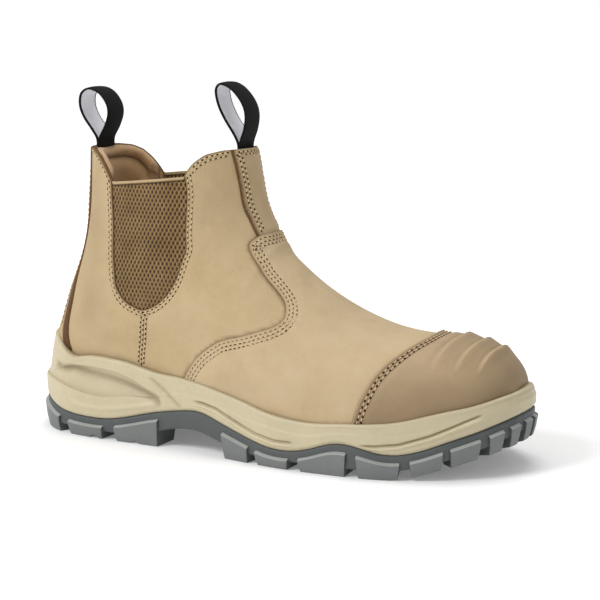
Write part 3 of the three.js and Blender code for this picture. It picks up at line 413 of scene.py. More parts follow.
def inside(polygon, places):
    """Which places lie inside a polygon."""
    x, y = places[:, 0], places[:, 1]
    result = np.zeros(len(places), bool)
    for (x0, y0), (x1, y1) in zip(polygon, np.roll(polygon, -1, axis=0)):
        if y1 != y0:
            result ^= ((y0 > y) != (y1 > y)) & (x < (x1 - x0) * (y - y0) / (y1 - y0) + x0)
    return result


def lattice(polygon, spacing):
    """Places with an even spacing over the surface, inside a polygon."""
    rows = []
    t, u_low = polygon.min(axis=0) + [0.01, 0]
    t_high, u_high = polygon.max(axis=0)
    odd = False
    while t < t_high:
        probe = np.linspace(u_low, u_high, 24)
        hits = inside(polygon, np.stack([np.full(24, t), probe], axis=1))
        _, by_station, by_girth = surface(t, probe[hits] if hits.any() else probe)
        step = spacing / np.linalg.norm(by_girth, axis=1).mean()
        line = np.arange(u_low + (0.5 * step if odd else 0), u_high, step)
        rows.append(np.stack([np.full(len(line), t), line], axis=1))
        t += 0.87 * spacing / np.linalg.norm(by_station, axis=1).mean()
        odd = not odd
    places = np.vstack(rows)
    return places[inside(polygon, places)]


def triangulate(outline, extra):
    """Triangles inside an outline, through extra places. Both are stations and girths."""
    flat = np.vstack([outline, extra]) * PLANE
    ring = list(range(len(outline)))
    result = delaunay_2d_cdt([Vector(point) for point in flat.tolist()], [], [ring], 1, 1e-5)
    places = np.array([tuple(point) for point in result[0]]) / PLANE
    faces = np.array([face for face in result[2] if len(face) == 3])
    corners = places[faces] * PLANE
    (ax, ay), (bx, by) = ((corners[:, k] - corners[:, 0]).T for k in (1, 2))
    area = ax * by - ay * bx
    faces[area < 0] = faces[area < 0][:, ::-1]
    return places, faces[np.abs(area) > 1e-9]


def panel(name, outline, edges, lift, thickness, materials, spacing=1.7, rounding=0.6,
          rows=(), tone=None, replaces=(), inner=None, more=None):
    """A closed sheet of leather or cloth over the last.

    The edges are the parts of the outline that show: the outer face rounds down towards them.
    The rows are extra lines of vertices, at distances in from those edges, and more is a list
    of extra places.
    """
    if np.sum(outline[:, 0] * np.roll(outline[:, 1], -1)
              - np.roll(outline[:, 0], -1) * outline[:, 1]) < 0:
        outline = outline[::-1]

    def from_outline(places):
        return distance_to(outline, places, closed=True)[0]

    extra = lattice(outline, spacing)
    extra = extra[from_outline(extra) > 0.45 * spacing]
    if edges:
        extra = extra[gap_to(edges, extra) > max([*rows] or [rounding]) + 0.5 * spacing]
    for edge in edges:
        for row in sorted({0.12 * rounding, 0.45 * rounding, rounding, *rows}):
            for way in (1, -1):
                line = shift(edge, way * row)
                line = line[inside(outline, line)]
                if len(line):
                    extra = np.vstack([extra, line[from_outline(line) > 0.8 * row]])
    if more is not None:
        extra = np.vstack([extra, more[inside(outline, more) & (from_outline(more) > 0.5)]])
    places, faces = triangulate(outline, extra)
    count = len(places)
    gap = gap_to(edges, places) if edges else np.full(count, 99.0)
    roundness = rounding * (1 - np.sqrt(1 - np.clip(1 - gap / rounding, 0, 1) ** 2))
    heights = lift(places, gap)
    outer = skin(*places.T, heights - roundness)
    under = heights - thickness if inner is None else inner(places, gap)
    triangles = faces.tolist()
    pairs = {edge: True for a, b, c in triangles for edge in ((a, b), (b, c), (c, a))}
    walls = [(b, a, a + count, b + count) for a, b in pairs if (b, a) not in pairs]
    all_faces = [tuple(face) for face in triangles]
    all_faces += [(c + count, b + count, a + count) for a, b, c in triangles] + walls
    up = outer - skin(*places.T, heights - thickness - 1)
    a, b, c = (outer[faces[:, k]] for k in range(3))
    if (np.cross(b - a, c - a) * up[faces[:, 0]]).sum() < 0:
        all_faces = [face[::-1] for face in all_faces]
    last = len(materials) - 1
    numbers = [0] * len(triangles) + [min(2, last)] * len(triangles) + [min(1, last)] * len(walls)
    shade = tone(places, gap) if tone else np.zeros(count)
    return make_piece(
        name, np.vstack([outer, skin(*places.T, under)]), all_faces, materials, numbers,
        np.vstack([places * PLANE] * 2), np.concatenate([shade, shade]), replaces)


def stitches(name, rows, pitch, radius=0.36, hole_radius=0.6):
    """Threads that lie in their row and dive into a hole at each end, as one mesh.

    A row is a line, its lift above the last and its phase.
    """
    points, faces, numbers = [], [], []
    ring, steps = 6, 5
    turns = 2 * math.pi * np.arange(ring)[:, None] / ring
    across, upwards = np.cos(turns), np.sin(turns)

    def add(block, block_faces, number):
        start = len(points)
        points.extend(block)
        faces.extend(tuple(k + start for k in face) for face in block_faces)
        numbers.extend([number] * len(block_faces))

    tube = quads(steps, ring)
    tube += [tuple(range(ring))[::-1], tuple(range((steps - 1) * ring, steps * ring))]
    cones = [(ring, k, (k + 1) % ring) for k in range(ring)]
    cones += [(ring + 1, (k + 1) % ring, k) for k in range(ring)]
    for line, lift, phase in rows:
        run = run_along(spots(line))
        marks = np.arange(phase * pitch, run[-1], pitch)
        marks = marks + [random.uniform(-0.12, 0.12) for _ in marks]
        at = even(line, run, marks / run[-1])
        base, by_station, by_girth = surface(*at.T)
        normal = unit(np.cross(by_girth, by_station))
        base = base + normal * np.interp(marks, run, np.broadcast_to(lift, run.shape))[:, None]
        for k in range(len(marks) - 1):
            reach = base[k + 1] - base[k]
            up = unit(normal[k] + normal[k + 1])
            side = unit(np.cross(reach, up))
            height = radius * random.uniform(0.75, 1.0)
            body = []
            for f in np.linspace(0, 1, steps):
                swell = math.sin(math.pi * (0.16 + 0.68 * f)) ** 0.7
                arch = (4 * f * (1 - f)) ** 0.6 * (height + 0.2) - 0.18
                centre = base[k] + reach * (0.19 + 0.62 * f) + up * arch
                body.extend(centre + (side * across * radius + up * upwards * height) * swell)
            add(body, tube, 0)
        for k, up in enumerate(normal):
            reach = base[min(k + 1, len(marks) - 1)] - base[max(k - 1, 0)]
            side = unit(np.cross(reach, up))
            long_side = np.cross(up, side) * 1.25
            rim = base[k] + up * 0.06 + hole_radius * (side * across + long_side * upwards)
            add([*rim, base[k] + up * 0.12, base[k] - up * 0.4], cones, 1)
    return make_piece(name, np.array(points), faces, [THREAD, HOLE_SHADE], numbers)


# Materials

class Shader:
    """A material's node tree, with short calls for the nodes that are used here.

    A colour in a layer is either a colour or a share of the material's own one.
    """

    def __init__(self, name, colour=(1, 1, 1), **settings):
        self.own = colour
        self.material = bpy.data.materials.new(name)
        self.material.use_nodes = True
        self.tree = self.material.node_tree
        self.surface = self.tree.nodes["Principled BSDF"]
        for key, value in settings.items():
            self.surface.inputs[key.replace("_", " ")].default_value = value
        self.place = self.times(self.node("ShaderNodeTexCoord").outputs["Object"], (1000,) * 3)

    def node(self, kind, **settings):
        node = self.tree.nodes.new(kind)
        for key, value in settings.items():
            setattr(node, key, value)
        return node

    def feed(self, socket, value):
        if isinstance(value, (int, float)):
            socket.default_value = value
        elif isinstance(value, tuple):
            socket.default_value = (*value, 1) if socket.type == "RGBA" else value
        else:
            self.tree.links.new(value, socket)

    def times(self, place, scale):
        node = self.node("ShaderNodeVectorMath", operation="MULTIPLY")
        self.feed(node.inputs[0], place)
        self.feed(node.inputs[1], scale)
        return node.outputs["Vector"]

    def noise(self, scale, detail=3.0, roughness=0.6, place=None):
        """Noise with a number of waves per millimetre."""
        node = self.node("ShaderNodeTexNoise")
        self.feed(node.inputs["Vector"], place or self.place)
        for key, value in (("Scale", scale), ("Detail", detail), ("Roughness", roughness)):
            node.inputs[key].default_value = value
        return node.outputs["Fac"]

    def ribs(self, way, scale, distortion):
        node = self.node("ShaderNodeTexWave", wave_type="BANDS", bands_direction=way)
        self.feed(node.inputs["Vector"], self.place)
        node.inputs["Scale"].default_value = scale
        node.inputs["Distortion"].default_value = distortion
        return node.outputs["Fac"]

    def product(self, first, second):
        node = self.node("ShaderNodeMath", operation="MULTIPLY")
        self.feed(node.inputs[0], first)
        self.feed(node.inputs[1], second)
        return node.outputs[0]

    def spread(self, value, low, high, to_low=0.0, to_high=1.0):
        node = self.node("ShaderNodeMapRange")
        self.feed(node.inputs["Value"], value)
        for key, number in (("From Min", low), ("From Max", high), ("To Min", to_low),
                            ("To Max", to_high)):
            node.inputs[key].default_value = number
        return node.outputs["Result"]

    def layered(self, base, *layers):
        """Colours laid over a base, each with a height, its range and its shares there."""
        base = self.coloured(base)
        for value, low, high, to_low, to_high, colour in layers:
            node = self.node("ShaderNodeMix", data_type="RGBA")
            self.feed(node.inputs["Factor"], self.spread(value, low, high, to_low, to_high))
            self.feed(node.inputs[6], base)
            self.feed(node.inputs[7], self.coloured(colour))
            base = node.outputs[2]
        return base

    def coloured(self, colour):
        if isinstance(colour, tuple):
            return colour
        return tuple(value * colour for value in self.own)

    def tone(self):
        return self.node("ShaderNodeAttribute", attribute_name="tone").outputs["Fac"]

    def finished(self, colour, roughness, *bumps):
        """The material with bump from pairs of a height and its depth in millimetres."""
        self.feed(self.surface.inputs["Base Color"], colour)
        self.feed(self.surface.inputs["Roughness"], roughness)
        normal = None
        for height, depth in bumps:
            node = self.node("ShaderNodeBump")
            node.inputs["Strength"].default_value = 1
            node.inputs["Distance"].default_value = depth / 1000
            self.feed(node.inputs["Height"], height)
            if normal is not None:
                self.feed(node.inputs["Normal"], normal)
            normal = node.outputs["Normal"]
        self.feed(self.surface.inputs["Normal"], normal)
        return self.material


def linear(red, green, blue):
    """A colour for the shader from its look on a screen, each from 0 to 255."""
    shares = (value / 255 for value in (red, green, blue))
    return tuple(share / 12.92 if share <= 0.04045 else ((share + 0.055) / 1.055) ** 2.4
                 for share in shares)


def nubuck(name, colour):
    """Buffed leather: a fine nap, soft mottling, darker where the tone attribute says."""
    s = Shader(name, colour, Sheen_Weight=0.04, Sheen_Roughness=0.5, Specular_IOR_Level=0.2)
    broad, middle, fine, nap, tone = (
        s.noise(0.045), s.noise(0.22, 4), s.noise(1.6, 4, 0.65), s.noise(5.5, 2), s.tone())
    # The tone turns the leather dark brown at its raw edges and in its darker patches, and paints
    # shade on the quarters beside the vamp's edge and on the vamp just in from that edge.
    dark_edges_and_shade = s.product(tone, s.spread(fine, 0.25, 0.65, 0.65, 1.1))
    warm = (colour[0] * 0.93, colour[1] * 0.89, colour[2] * 0.8)
    base = s.layered(
        warm, (broad, 0.32, 0.68, 0, 1, 1.06), (middle, 0.4, 0.7, 0, 0.35, 1.1),
        (fine, 0.3, 0.75, 0.28, 0, 0.76), (nap, 0.35, 0.7, 0.2, 0, 0.66),
        (dark_edges_and_shade, 0, 1, 0, 1, (0.105, 0.052, 0.02)), (tone, 0, -1, 0, 1, 1.35))
    return s.finished(base, s.spread(middle, 0.3, 0.7, 0.78, 0.9),
                      (middle, 0.22), (fine, 0.16), (nap, 0.08))


def raw_edge(name, colour):
    """The cut edge of leather: brown and fibrous."""
    s = Shader(name, colour, Specular_IOR_Level=0.2)
    fibre, fine = s.noise(1.3, 4, 0.7), s.noise(5, 2)
    return s.finished(s.layered(0.6, (fibre, 0.3, 0.7, 0, 1, 1.3)), 0.9,
                      (fibre, 0.25), (fine, 0.12))


def cloth(name, colour, scale=1.1, strength=0.2):
    """Brushed lining: soft fibres over a fine knit."""
    s = Shader(name, colour, Sheen_Weight=0.3, Sheen_Roughness=0.6, Specular_IOR_Level=0.15)
    broad, fine, nap = s.noise(0.06), s.noise(scale, 4, 0.7), s.noise(4.5, 2)
    # The tone darkens it: painted shade in the collar pad's groove.
    base = s.layered(0.82, (broad, 0.3, 0.7, 0, 1, 1.15), (fine, 0.35, 0.7, 0.45, 0, 0.6),
                     (s.tone(), 0, 1, 0, 1, 0.18))
    return s.finished(base, 0.92, (fine, strength), (nap, 0.1))


def rubber(name, colour, roughness, depth, mottling, dark=0.35):
    """Moulded rubber or foam with a fine matt grain."""
    s = Shader(name, colour, Specular_IOR_Level=0.4)
    broad, middle, fine, tone = s.noise(0.05), s.noise(0.4, 4), s.noise(2.6), s.tone()
    # The tone carries painted light: shade towards the dark colour above zero, highlights below
    # zero; low on the cap it is partly the cap's own darker colour.
    base = s.layered(
        1 - mottling, (broad, 0.3, 0.7, 0, 1, 1.06), (middle, 0.3, 0.75, 0.3, 0, 0.8),
        (fine, 0.35, 0.7, 0.2, 0, 0.74), (tone, 0, 1, 0, 1, dark), (tone, 0, -1, 0, 1, 1.35))
    gloss = s.spread(middle, 0.3, 0.7, roughness - 0.06, roughness + 0.06)
    return s.finished(base, gloss, (middle, 0.12), (fine, depth))


def elastic(name):
    """Woven elastic: the mesh carries the weave, and its tone paints shade down in the gaps and
    makes the hem lighter.
    """
    s = Shader(name, Sheen_Weight=0.1, Specular_IOR_Level=0.15)
    threads = s.noise(1.0, 3, 0.6, s.times(s.place, (6.0, 6.0, 0.8)))
    broad, fine, tone = s.noise(0.08), s.noise(4, 2), s.tone()
    base = s.layered(
        linear(152, 124, 82), (broad, 0.3, 0.7, 0, 1, linear(182, 152, 106)),
        (threads, 0.35, 0.7, 0.55, 0, linear(104, 80, 52)),
        (fine, 0.3, 0.7, 0.3, 0, linear(84, 62, 40)), (tone, 0, 1, 0, 1, linear(44, 30, 18)),
        (tone, 0, -1, 0, 1, linear(205, 186, 150)))
    return s.finished(base, 0.93, (threads, 0.16), (fine, 0.1))


def webbing(name, colour, contrast):
    """Tightly woven tape: fine ribs both ways."""
    s = Shader(name, colour, Specular_IOR_Level=0.2)
    warp, weft, fine = s.ribs("Y", 0.42, 0.6), s.ribs("Z", 0.55, 0.8), s.noise(3.5)
    base = s.layered(1, (s.product(warp, contrast), 0, 1, 0, 1, 0.55),
                     (fine, 0.3, 0.7, 0.35, 0, 0.5))
    return s.finished(base, 0.85, (warp, 0.12), (weft, 0.12), (fine, 0.08))


def thread(name, colour):
    s = Shader(name, colour, Specular_IOR_Level=0.35)
    twist = s.noise(2.2)
    return s.finished(s.layered(0.7, (twist, 0.3, 0.7, 0, 1, 1.15)), 0.6, (twist, 0.1))


def hole(name):
    # Stitch holes: dark brown as painted shade down in the holes, mottled by noise.
    s = Shader(name, Specular_IOR_Level=0.1)
    shade_mottling = s.noise(2, 2, 0.5)
    return s.finished(s.layered(linear(58, 38, 20), (shade_mottling, 0, 1, 0, 1, linear(86, 60, 34))), 0.95,
                      (shade_mottling, 0.05))


QUARTER = nubuck("nubuck_quarter", linear(191, 170, 134))
FRONT = nubuck("nubuck_strip", linear(188, 166, 132))
VAMP = nubuck("nubuck_vamp", linear(197, 176, 142))
EDGE = raw_edge("raw_edge", linear(122, 88, 52))
LINING = cloth("suede_lining", linear(206, 166, 118))
CAP = rubber("toe_cap_rubber", linear(173, 149, 115), 0.6, 0.14, 0.1, linear(84, 60, 34))
FOAM = rubber("midsole_foam", linear(196, 184, 153), 0.45, 0.05, 0.05, linear(104, 86, 56))
SOLE = rubber("outsole_rubber", linear(118, 121, 120), 0.58, 0.1, 0.08)
SOLE_LEDGE = rubber("outsole_rubber_ledge", linear(162, 165, 162), 0.5, 0.06, 0.05)
# A darker copy of the outsole rubber for the plate between the lugs and the lugs' end faces: painted
# shade down in the gaps.
SOLE_SHADED = rubber("outsole_rubber_plate_shade", linear(84, 88, 88), 0.6, 0.1, 0.08)
BED = cloth("footbed_cloth", linear(120, 92, 62), 0.8, 0.25)
ELASTIC = elastic("woven_elastic")
BLACK = webbing("webbing_black", linear(15, 15, 15), 0.5)
WHITE = webbing("webbing_white", linear(246, 246, 250), 0.12)
THREAD = thread("thread_cream", linear(208, 187, 148))
HOLE_SHADE = hole("stitch_hole_shade")


# Lines on the upper

def collar_station(girth, drop=0.0):
    def height_at(x):
        share = (x - HEEL_REACH) / UPPER_LENGTH
        return np.interp(share, *COLLAR_LINE.T) * COLLAR_HEIGHT - drop
    return station_where(girth, 14.0, height_at)


def collar_edge(start, end, count, side):
    return np.array([(collar_station(side * u), side * u) for u in np.linspace(start, end, count)])


def window_edge(side, spacing, growth=0.0):
    """The gore's window as places on the last, from its rear corner round to its front one."""
    line = np.array(WINDOW_LINE) * [UPPER_LENGTH, COLLAR_HEIGHT]
    along = unit(np.gradient(line, axis=0))
    line = line + growth * np.stack([along[:, 1], -along[:, 0]], axis=1)
    return resample(place_in_side_view(line / [UPPER_LENGTH, COLLAR_HEIGHT], side), spacing)


def vamp_line(side, last=0.86):
    girths = np.concatenate([np.linspace(0, 0.3, 61), np.linspace(0.31, last, 40)])
    return resample(np.stack([vamp_edge(girths)["station"], side * girths], axis=1), 1.6)


def under_vamp(girth):
    """The station down to which the quarters run on under the vamp."""
    window = np.abs(np.abs(np.asarray(girth, float))[..., None] + np.linspace(-0.05, 0.05, 21))
    return vamp_edge(window)["station"].min(axis=-1) - 0.3


def joined(*lines):
    """One closed outline from lines, without points that fall together."""
    points = np.vstack(lines)
    apart = np.linalg.norm(points * PLANE - np.roll(points * PLANE, 1, axis=0), axis=1)
    return points[apart > 0.25]


def line_between(start, end, spacing=3.0):
    count = max(2, int(np.linalg.norm((np.array(end) - start) * PLANE) / spacing) + 1)
    return np.linspace(start, end, count)


def folds(places, shapes, side, share):
    """Soft troughs, each between two places with a depth and a width in millimetres."""
    height = np.zeros(len(places))
    for start, end, depth, width in shapes:
        gap, along = distance_to(np.linspace(start, end, 24) * [1, side], places)
        ends = np.sin(np.pi * np.clip(along, 0.02, 0.98)) ** 0.6
        height -= share * depth * bump(gap, 0, width) * ends
    return height


QUARTER_FOLDS = [
    ((12.6, 0.22), (11.3, 0.36), 0.9, 5), ((12.0, 0.20), (10.7, 0.30), 0.7, 4),
    ((12.2, 0.40), (10.6, 0.50), 0.8, 6), ((11.3, 0.42), (10.3, 0.44), 0.5, 4),
    ((12.0, 0.60), (10.6, 0.62), 0.6, 7), ((14.6, 0.66), (13.2, 0.70), 0.6, 7),
    ((17.0, 0.72), (15.6, 0.70), 0.5, 6), ((14.6, 0.16), (13.4, 0.22), 0.5, 5),
]
VAMP_FOLDS = [
    ((9.2, -0.05), (8.2, -0.22), 0.8, 6), ((8.6, 0.06), (7.8, -0.12), 0.7, 5),
    ((8.2, -0.24), (7.4, -0.42), 0.6, 6), ((9.4, -0.48), (8.2, -0.52), 0.6, 6),
    ((8.2, 0.18), (7.4, 0.34), 0.6, 6), ((7.3, -0.05), (6.8, -0.26), 0.5, 6),
]
QUARTER_ROWS = (1.4, 3.3)
VAMP_ROWS = (2.2, 4.3, 6.4)


def quarter_lift(places, gap):
    side = OUTER if places[:, 1].mean() < 0 else INNER
    height = 0.35 * bump(places[:, 0], 12.6, 1.3) * bump(np.abs(places[:, 1]), 0.6, 0.14)
    height = (height + folds(places, QUARTER_FOLDS, side, 0.7)) * smoothstep(gap, 2, 8)
    return height - sum(0.16 * bump(gap, row, 0.45) for row in QUARTER_ROWS)


def vamp_lift(places, gap):
    station, girth = places[:, 0], np.abs(places[:, 1])
    height = VAMP_LIFT + 0.9 * smoothstep(station, 10.1, 10.65) * (1 - smoothstep(girth, 0.1, 0.15))
    height += folds(places, VAMP_FOLDS, 1, 0.8) * smoothstep(gap, 8, 14) + 0.14 * bump(gap, 0.9, 0.7)
    return height - sum(0.2 * bump(gap, row, 0.45) for row in VAMP_ROWS)


def vamp_inner(places, gap):
    over = places[:, 0] > under_vamp(places[:, 1]) + 0.02
    tongue = (np.abs(places[:, 1]) < 0.15) & (places[:, 0] > 10.3)
    return np.where(over, np.where(tongue, 1.05, 0.1), -WALL)


def quarter_outline(side):
    """A quarter's outline, and the part of it that shows."""
    front = collar_edge(0, 0.318, 26, side)
    window = window_edge(side, 1.3)[::-1]
    rear = collar_edge(abs(window[-1, 1]) + 0.004, 1, 26, side)
    girths = np.linspace(0.85, 0, 90)
    hidden = np.stack([under_vamp(girths), side * girths], axis=1)
    outline = joined(
        front, window, rear, line_between((rear[-1, 0] - 0.1, side), (13.3, side)),
        line_between((13.3, side * 0.9), (12.6, side * 0.86)),
        line_between((12.5, side * 0.86), (float(under_vamp(0.86)), side * 0.86)), hidden,
        line_between((hidden[-1, 0] + 0.1, 0.0), (front[0, 0] - 0.1, 0.0)))
    return outline, np.vstack([front, window, rear])


# Darker patches of the leather in side view: place, reach along and up, strength
QUARTER_PATCHES = [
    (126, 150, 20, 28, 0.14), (134, 120, 12, 14, 0.1), (46, 130, 15, 42, 0.24),
    (46, 78, 12, 18, 0.2), (84, 66, 9, 12, 0.1), (112, 70, 14, 9, 0.07), (118, 104, 6, 12, 0.05),
    (160, 92, 9, 12, 0.08), (62, 60, 14, 6, 0.12),
]
VAMP_PATCHES = [
    (164, 124, 17, 13, 0.27), (184, 100, 9, 9, 0.09), (196, 84, 12, 7, 0.06),
    (150, 42, 22, 7, 0.1), (196, 40, 16, 10, 0.07), (176, 62, 12, 12, 0.05),
]


def patches(places, shapes):
    x, _, z = spots(places).T
    return sum(strength * np.exp(-((x - middle) / along) ** 2 - ((z - height) / up) ** 2)
               for middle, height, along, up, strength in shapes)


def quarter_tone(places, gap):
    side = OUTER if places[:, 1].mean() < 0 else INNER
    # Besides the darker patches and the dark raw edge, a painted shadow along the vamp's edge, where
    # the vamp laps over the quarter.
    line = 0.5 * (1 - smoothstep(gap_to([vamp_line(side)], places), 0.3, 1.6))
    return patches(places, QUARTER_PATCHES) + 0.9 * bump(gap, 0, 0.6) + line


def vamp_tone(places, gap):
    # The darker patches, the dark raw edge, and a band of painted shade just in from that edge.
    return patches(places, VAMP_PATCHES) + 0.85 * bump(gap, 0, 0.55) + 0.12 * bump(gap, 1.0, 0.9)


def round_the_toe(back, front, girth, count):
    """Lines down the inner side, round the toe and up the outer side."""
    across = np.linspace(girth - 0.02, 0.02 - girth, count)
    return (line_between((back, girth), (front, girth)),
            np.stack([np.full(count, front - 0.1), across], axis=1),
            line_between((front, -girth), (back, -girth)))


def make_quarters_and_vamp():
    for side, name in ((OUTER, "quarter_lateral"), (INNER, "quarter_medial")):
        outline, edge = quarter_outline(side)
        panel(name, outline, [edge], quarter_lift, WALL, [QUARTER, EDGE, LINING],
              spacing=1.9, rounding=0.7, rows=(1.0, 1.4, 1.8, 2.6, 3.3, 3.9),
              tone=quarter_tone, replaces=("upper",))
    back = np.vstack([vamp_line(OUTER)[::-1], vamp_line(INNER)[1:]])
    outline = joined(back, *round_the_toe(10.3, 1.6, 0.86, 40))
    panel("vamp", outline, [back], vamp_lift, VAMP_LIFT + WALL, [VAMP, EDGE, LINING],
          spacing=1.8, rounding=0.8, rows=(1.2, 1.7, 2.2, 2.7, 3.5, 4.3, 4.8, 5.6, 6.4, 7.0, 8.2),
          tone=vamp_tone, inner=vamp_inner, replaces=("upper",))


# The toe cap: three crescent ridges, steep on the heel side, each with its start and slope
RIDGES = [(2.70, 0.42), (3.43, 0.65), (4.16, 0.6)]
RIDGE_RUN = 0.62
RIDGE_DROP = 0.16
RIDGE_GIRTH = 0.33


def ridge_line(ridge, girth):
    start, slope = ridge
    return start + slope * np.minimum(np.abs(girth), 0.25) + 0.1 * np.abs(girth)


def cap_lift(places, gap):
    station, girth = places[:, 0], np.abs(places[:, 1])
    height = np.zeros(len(places))
    for ridge in RIDGES:
        past = station - ridge_line(ridge, girth)
        up = np.clip(1 + past / RIDGE_RUN, 0, 1) ** 1.5
        height = np.maximum(height, np.where(past <= 0, up, 1 - smoothstep(past, 0, RIDGE_DROP)))
    fade = np.clip(1 - (girth / RIDGE_GIRTH) ** 2.6, 0, 1) ** 0.8
    skive = np.maximum(1 - smoothstep(station, 0.4, 1.2), smoothstep(girth, 0.38, 0.48))
    channel = smoothstep(gap, 1.3, 2.1) * (1 - smoothstep(gap, 5.6, 8.5))
    return (CAP_LIFT + CAP_RIDGE * fade * height - 0.6 * skive - 0.75 * channel
            + 0.2 * bump(gap, 0.9, 0.6))


def cap_painted_light_and_colour(places, gap):
    station, girth = places[:, 0], np.abs(places[:, 1])
    # Painted light on the cap: shade in the stitch channel, a lit lip with a painted shadow on its
    # very edge, and shade low on the sides and at the toe, there partly the cap's own darker colour.
    channel = smoothstep(gap, 1.4, 2.0) * (1 - smoothstep(gap, 5.2, 6.2))
    lit_lip_and_edge_shadow = -0.3 * (1 - smoothstep(gap, 1.0, 1.8)) + 0.5 * bump(gap, 0, 0.3)
    low = 0.38 * smoothstep(girth, 0.3, 0.58) + 0.36 * (1 - smoothstep(station, 1.2, 3.4))
    fade = np.clip(1 - (girth / RIDGE_GIRTH) ** 2, 0, 1)
    # Each crest gets a painted highlight, with painted shade on the slope in front of it and at the
    # foot of its step.
    crest = np.zeros(len(places))
    for ridge in RIDGES:
        past = station - ridge_line(ridge, girth)
        crest += fade * (0.2 * bump(past, -0.22, 0.2) - 0.55 * bump(past, 0.02, 0.045)
                         + 0.25 * bump(past, 0.2, 0.06))
    return 0.24 * channel + lit_lip_and_edge_shadow + low * (1 - channel) + crest


def cap_line():
    girths = np.linspace(-0.66, 0.66, 120)
    return resample(np.stack([cap_edge(np.abs(girths))["station"], girths], axis=1), 1.4)


def make_cap():
    back = cap_line()
    girths = np.linspace(-0.4, 0.4, 90)
    more = [np.stack([ridge_line(ridge, girths) + past, girths], axis=1) for ridge in RIDGES
            for past in (-0.2, -0.1, -0.04, 0, 0.04, 0.08, 0.12, 0.16, 0.22)]
    panel("toe_cap_cover", joined(back, *round_the_toe(6.1, 0.6, 0.66, 26)), [back], cap_lift, 1.8,
          [CAP], spacing=1.5, rounding=0.8,
          rows=(1.3, 1.7, 2.1, 2.9, 3.9, 4.9, 5.6, 6.6), tone=cap_painted_light_and_colour,
          inner=lambda places, gap: VAMP_LIFT + 0.1, more=np.vstack(more), replaces=("toe_cap",))


STRIP_REACH = 0.118


def strip(node, stations, half, middle, way, low, rows, band, depth, shade):
    """A strip over the front or back seam, with a dark skived band along both sides.

    The way is the side that its outline starts on. The lift drops by the depth in the band,
    and the shade makes the tone from the band and the gap.
    """
    reach = way * STRIP_REACH
    girths = np.linspace(middle + reach, middle - reach, 15)
    top = np.array([(collar_station(u if u < 1 else u - 2), u) for u in girths])
    first = np.stack([stations, middle + way * half(stations)["half"]], axis=1)
    second = np.stack([stations, middle - way * half(stations)["half"]], axis=1)
    edges = [resample(line, 1.5) for line in (first, second, top)]

    def band_at(places):
        return 1 - smoothstep(gap_to(edges[:2], places), band - 0.4, band + 0.2)

    def lift(places, gap):
        lap = places[:, 0] - vamp_edge(np.abs(places[:, 1]))["station"]
        return STRIP_LIFT - 0.5 * (1 - smoothstep(lap, 0, 0.22)) - depth * band_at(places)

    panel(node + "_cover", joined(first, top, second[::-1], low), edges, lift, STRIP_LIFT - 0.3,
          [FRONT, EDGE, EDGE], spacing=1.5, rounding=0.5, rows=rows,
          tone=lambda places, gap: shade(band_at(places), gap), replaces=(node,))


def make_strips():
    low = np.stack([np.full(9, 10.3), np.linspace(-0.09, 0.09, 9)], axis=1)
    strip("front_strip", np.linspace(10.5, 19.6, 60), front_strip, 0, 1, low,
          (1.3, 2.1, 2.5, 2.9, 3.8), 2.2, 0.35,
          lambda band, gap: 0.12 + 0.8 * band + 0.5 * bump(gap, 0, 0.4))
    low = np.stack([np.full(15, 13.3), np.linspace(1.19, 0.81, 15)], axis=1)
    stations = np.linspace(13.35, 20.6, 60)
    stations = stations[stations < collar_station(1 - STRIP_REACH) - 0.1]
    strip("back_strip", stations, back_strip, 1, -1, low, (1.4, 2.9, 4.4, 5.2, 5.6, 6.0), 5.6, 0.4,
          lambda band, gap: 1.25 * band)


# The gores' weave: rows of oval gaps, sunk in and darkened with painted shade, each row shifted by
# half a gap
WEAVE_COLUMN = 2.5
WEAVE_ROW = 2.4


def weave_gaps(places):
    x, _, z = spots(places).T
    row = np.round(z / WEAVE_ROW)
    half = np.where(row % 2 == 0, 0, 0.5)
    column = np.round(x / WEAVE_COLUMN - half) + half
    return np.exp(-(((x - column * WEAVE_COLUMN) / 0.7) ** 2
                    + ((z - row * WEAVE_ROW) / 1.16) ** 4) ** 1.6)


def make_gores():
    for side, node in ((OUTER, "gore_lateral"), (INNER, "gore_medial")):
        window = window_edge(side, 1.0, -0.15)
        x, _, z = spots(window[[-1, 0]]).T
        x, z = (np.linspace(*ends, 40)[1:-1] for ends in (x, z))
        top = place_in_side_view(
            np.stack([(x - HEEL_REACH) / UPPER_LENGTH, (z - 0.3) / COLLAR_HEIGHT], axis=1), side)

        def lift(places, gap, top=top):
            from_top = gap_to([top], places)
            return (-GORE_RECESS - 0.6 * weave_gaps(places) * smoothstep(from_top, 1.9, 2.6)
                    + 0.35 * (1 - smoothstep(from_top, 1.2, 1.7)))

        def tone(places, gap, top=top):
            # Painted shade in the weave's gaps and in a line just under the hem; the hem along the
            # top is lighter.
            from_top = gap_to([top], places)
            dark = weave_gaps(places) * smoothstep(from_top, 1.9, 2.6) + bump(from_top, 2.0, 0.45)
            return np.clip(dark, 0, 1) - 0.5 * (1 - smoothstep(from_top, 1.1, 1.6))

        panel(node + "_weave", joined(window, top), [], lift, GORE_THICKNESS, [ELASTIC],
              spacing=0.58, tone=tone, replaces=(node,),
              inner=lambda places, gap: -GORE_RECESS - GORE_THICKNESS)


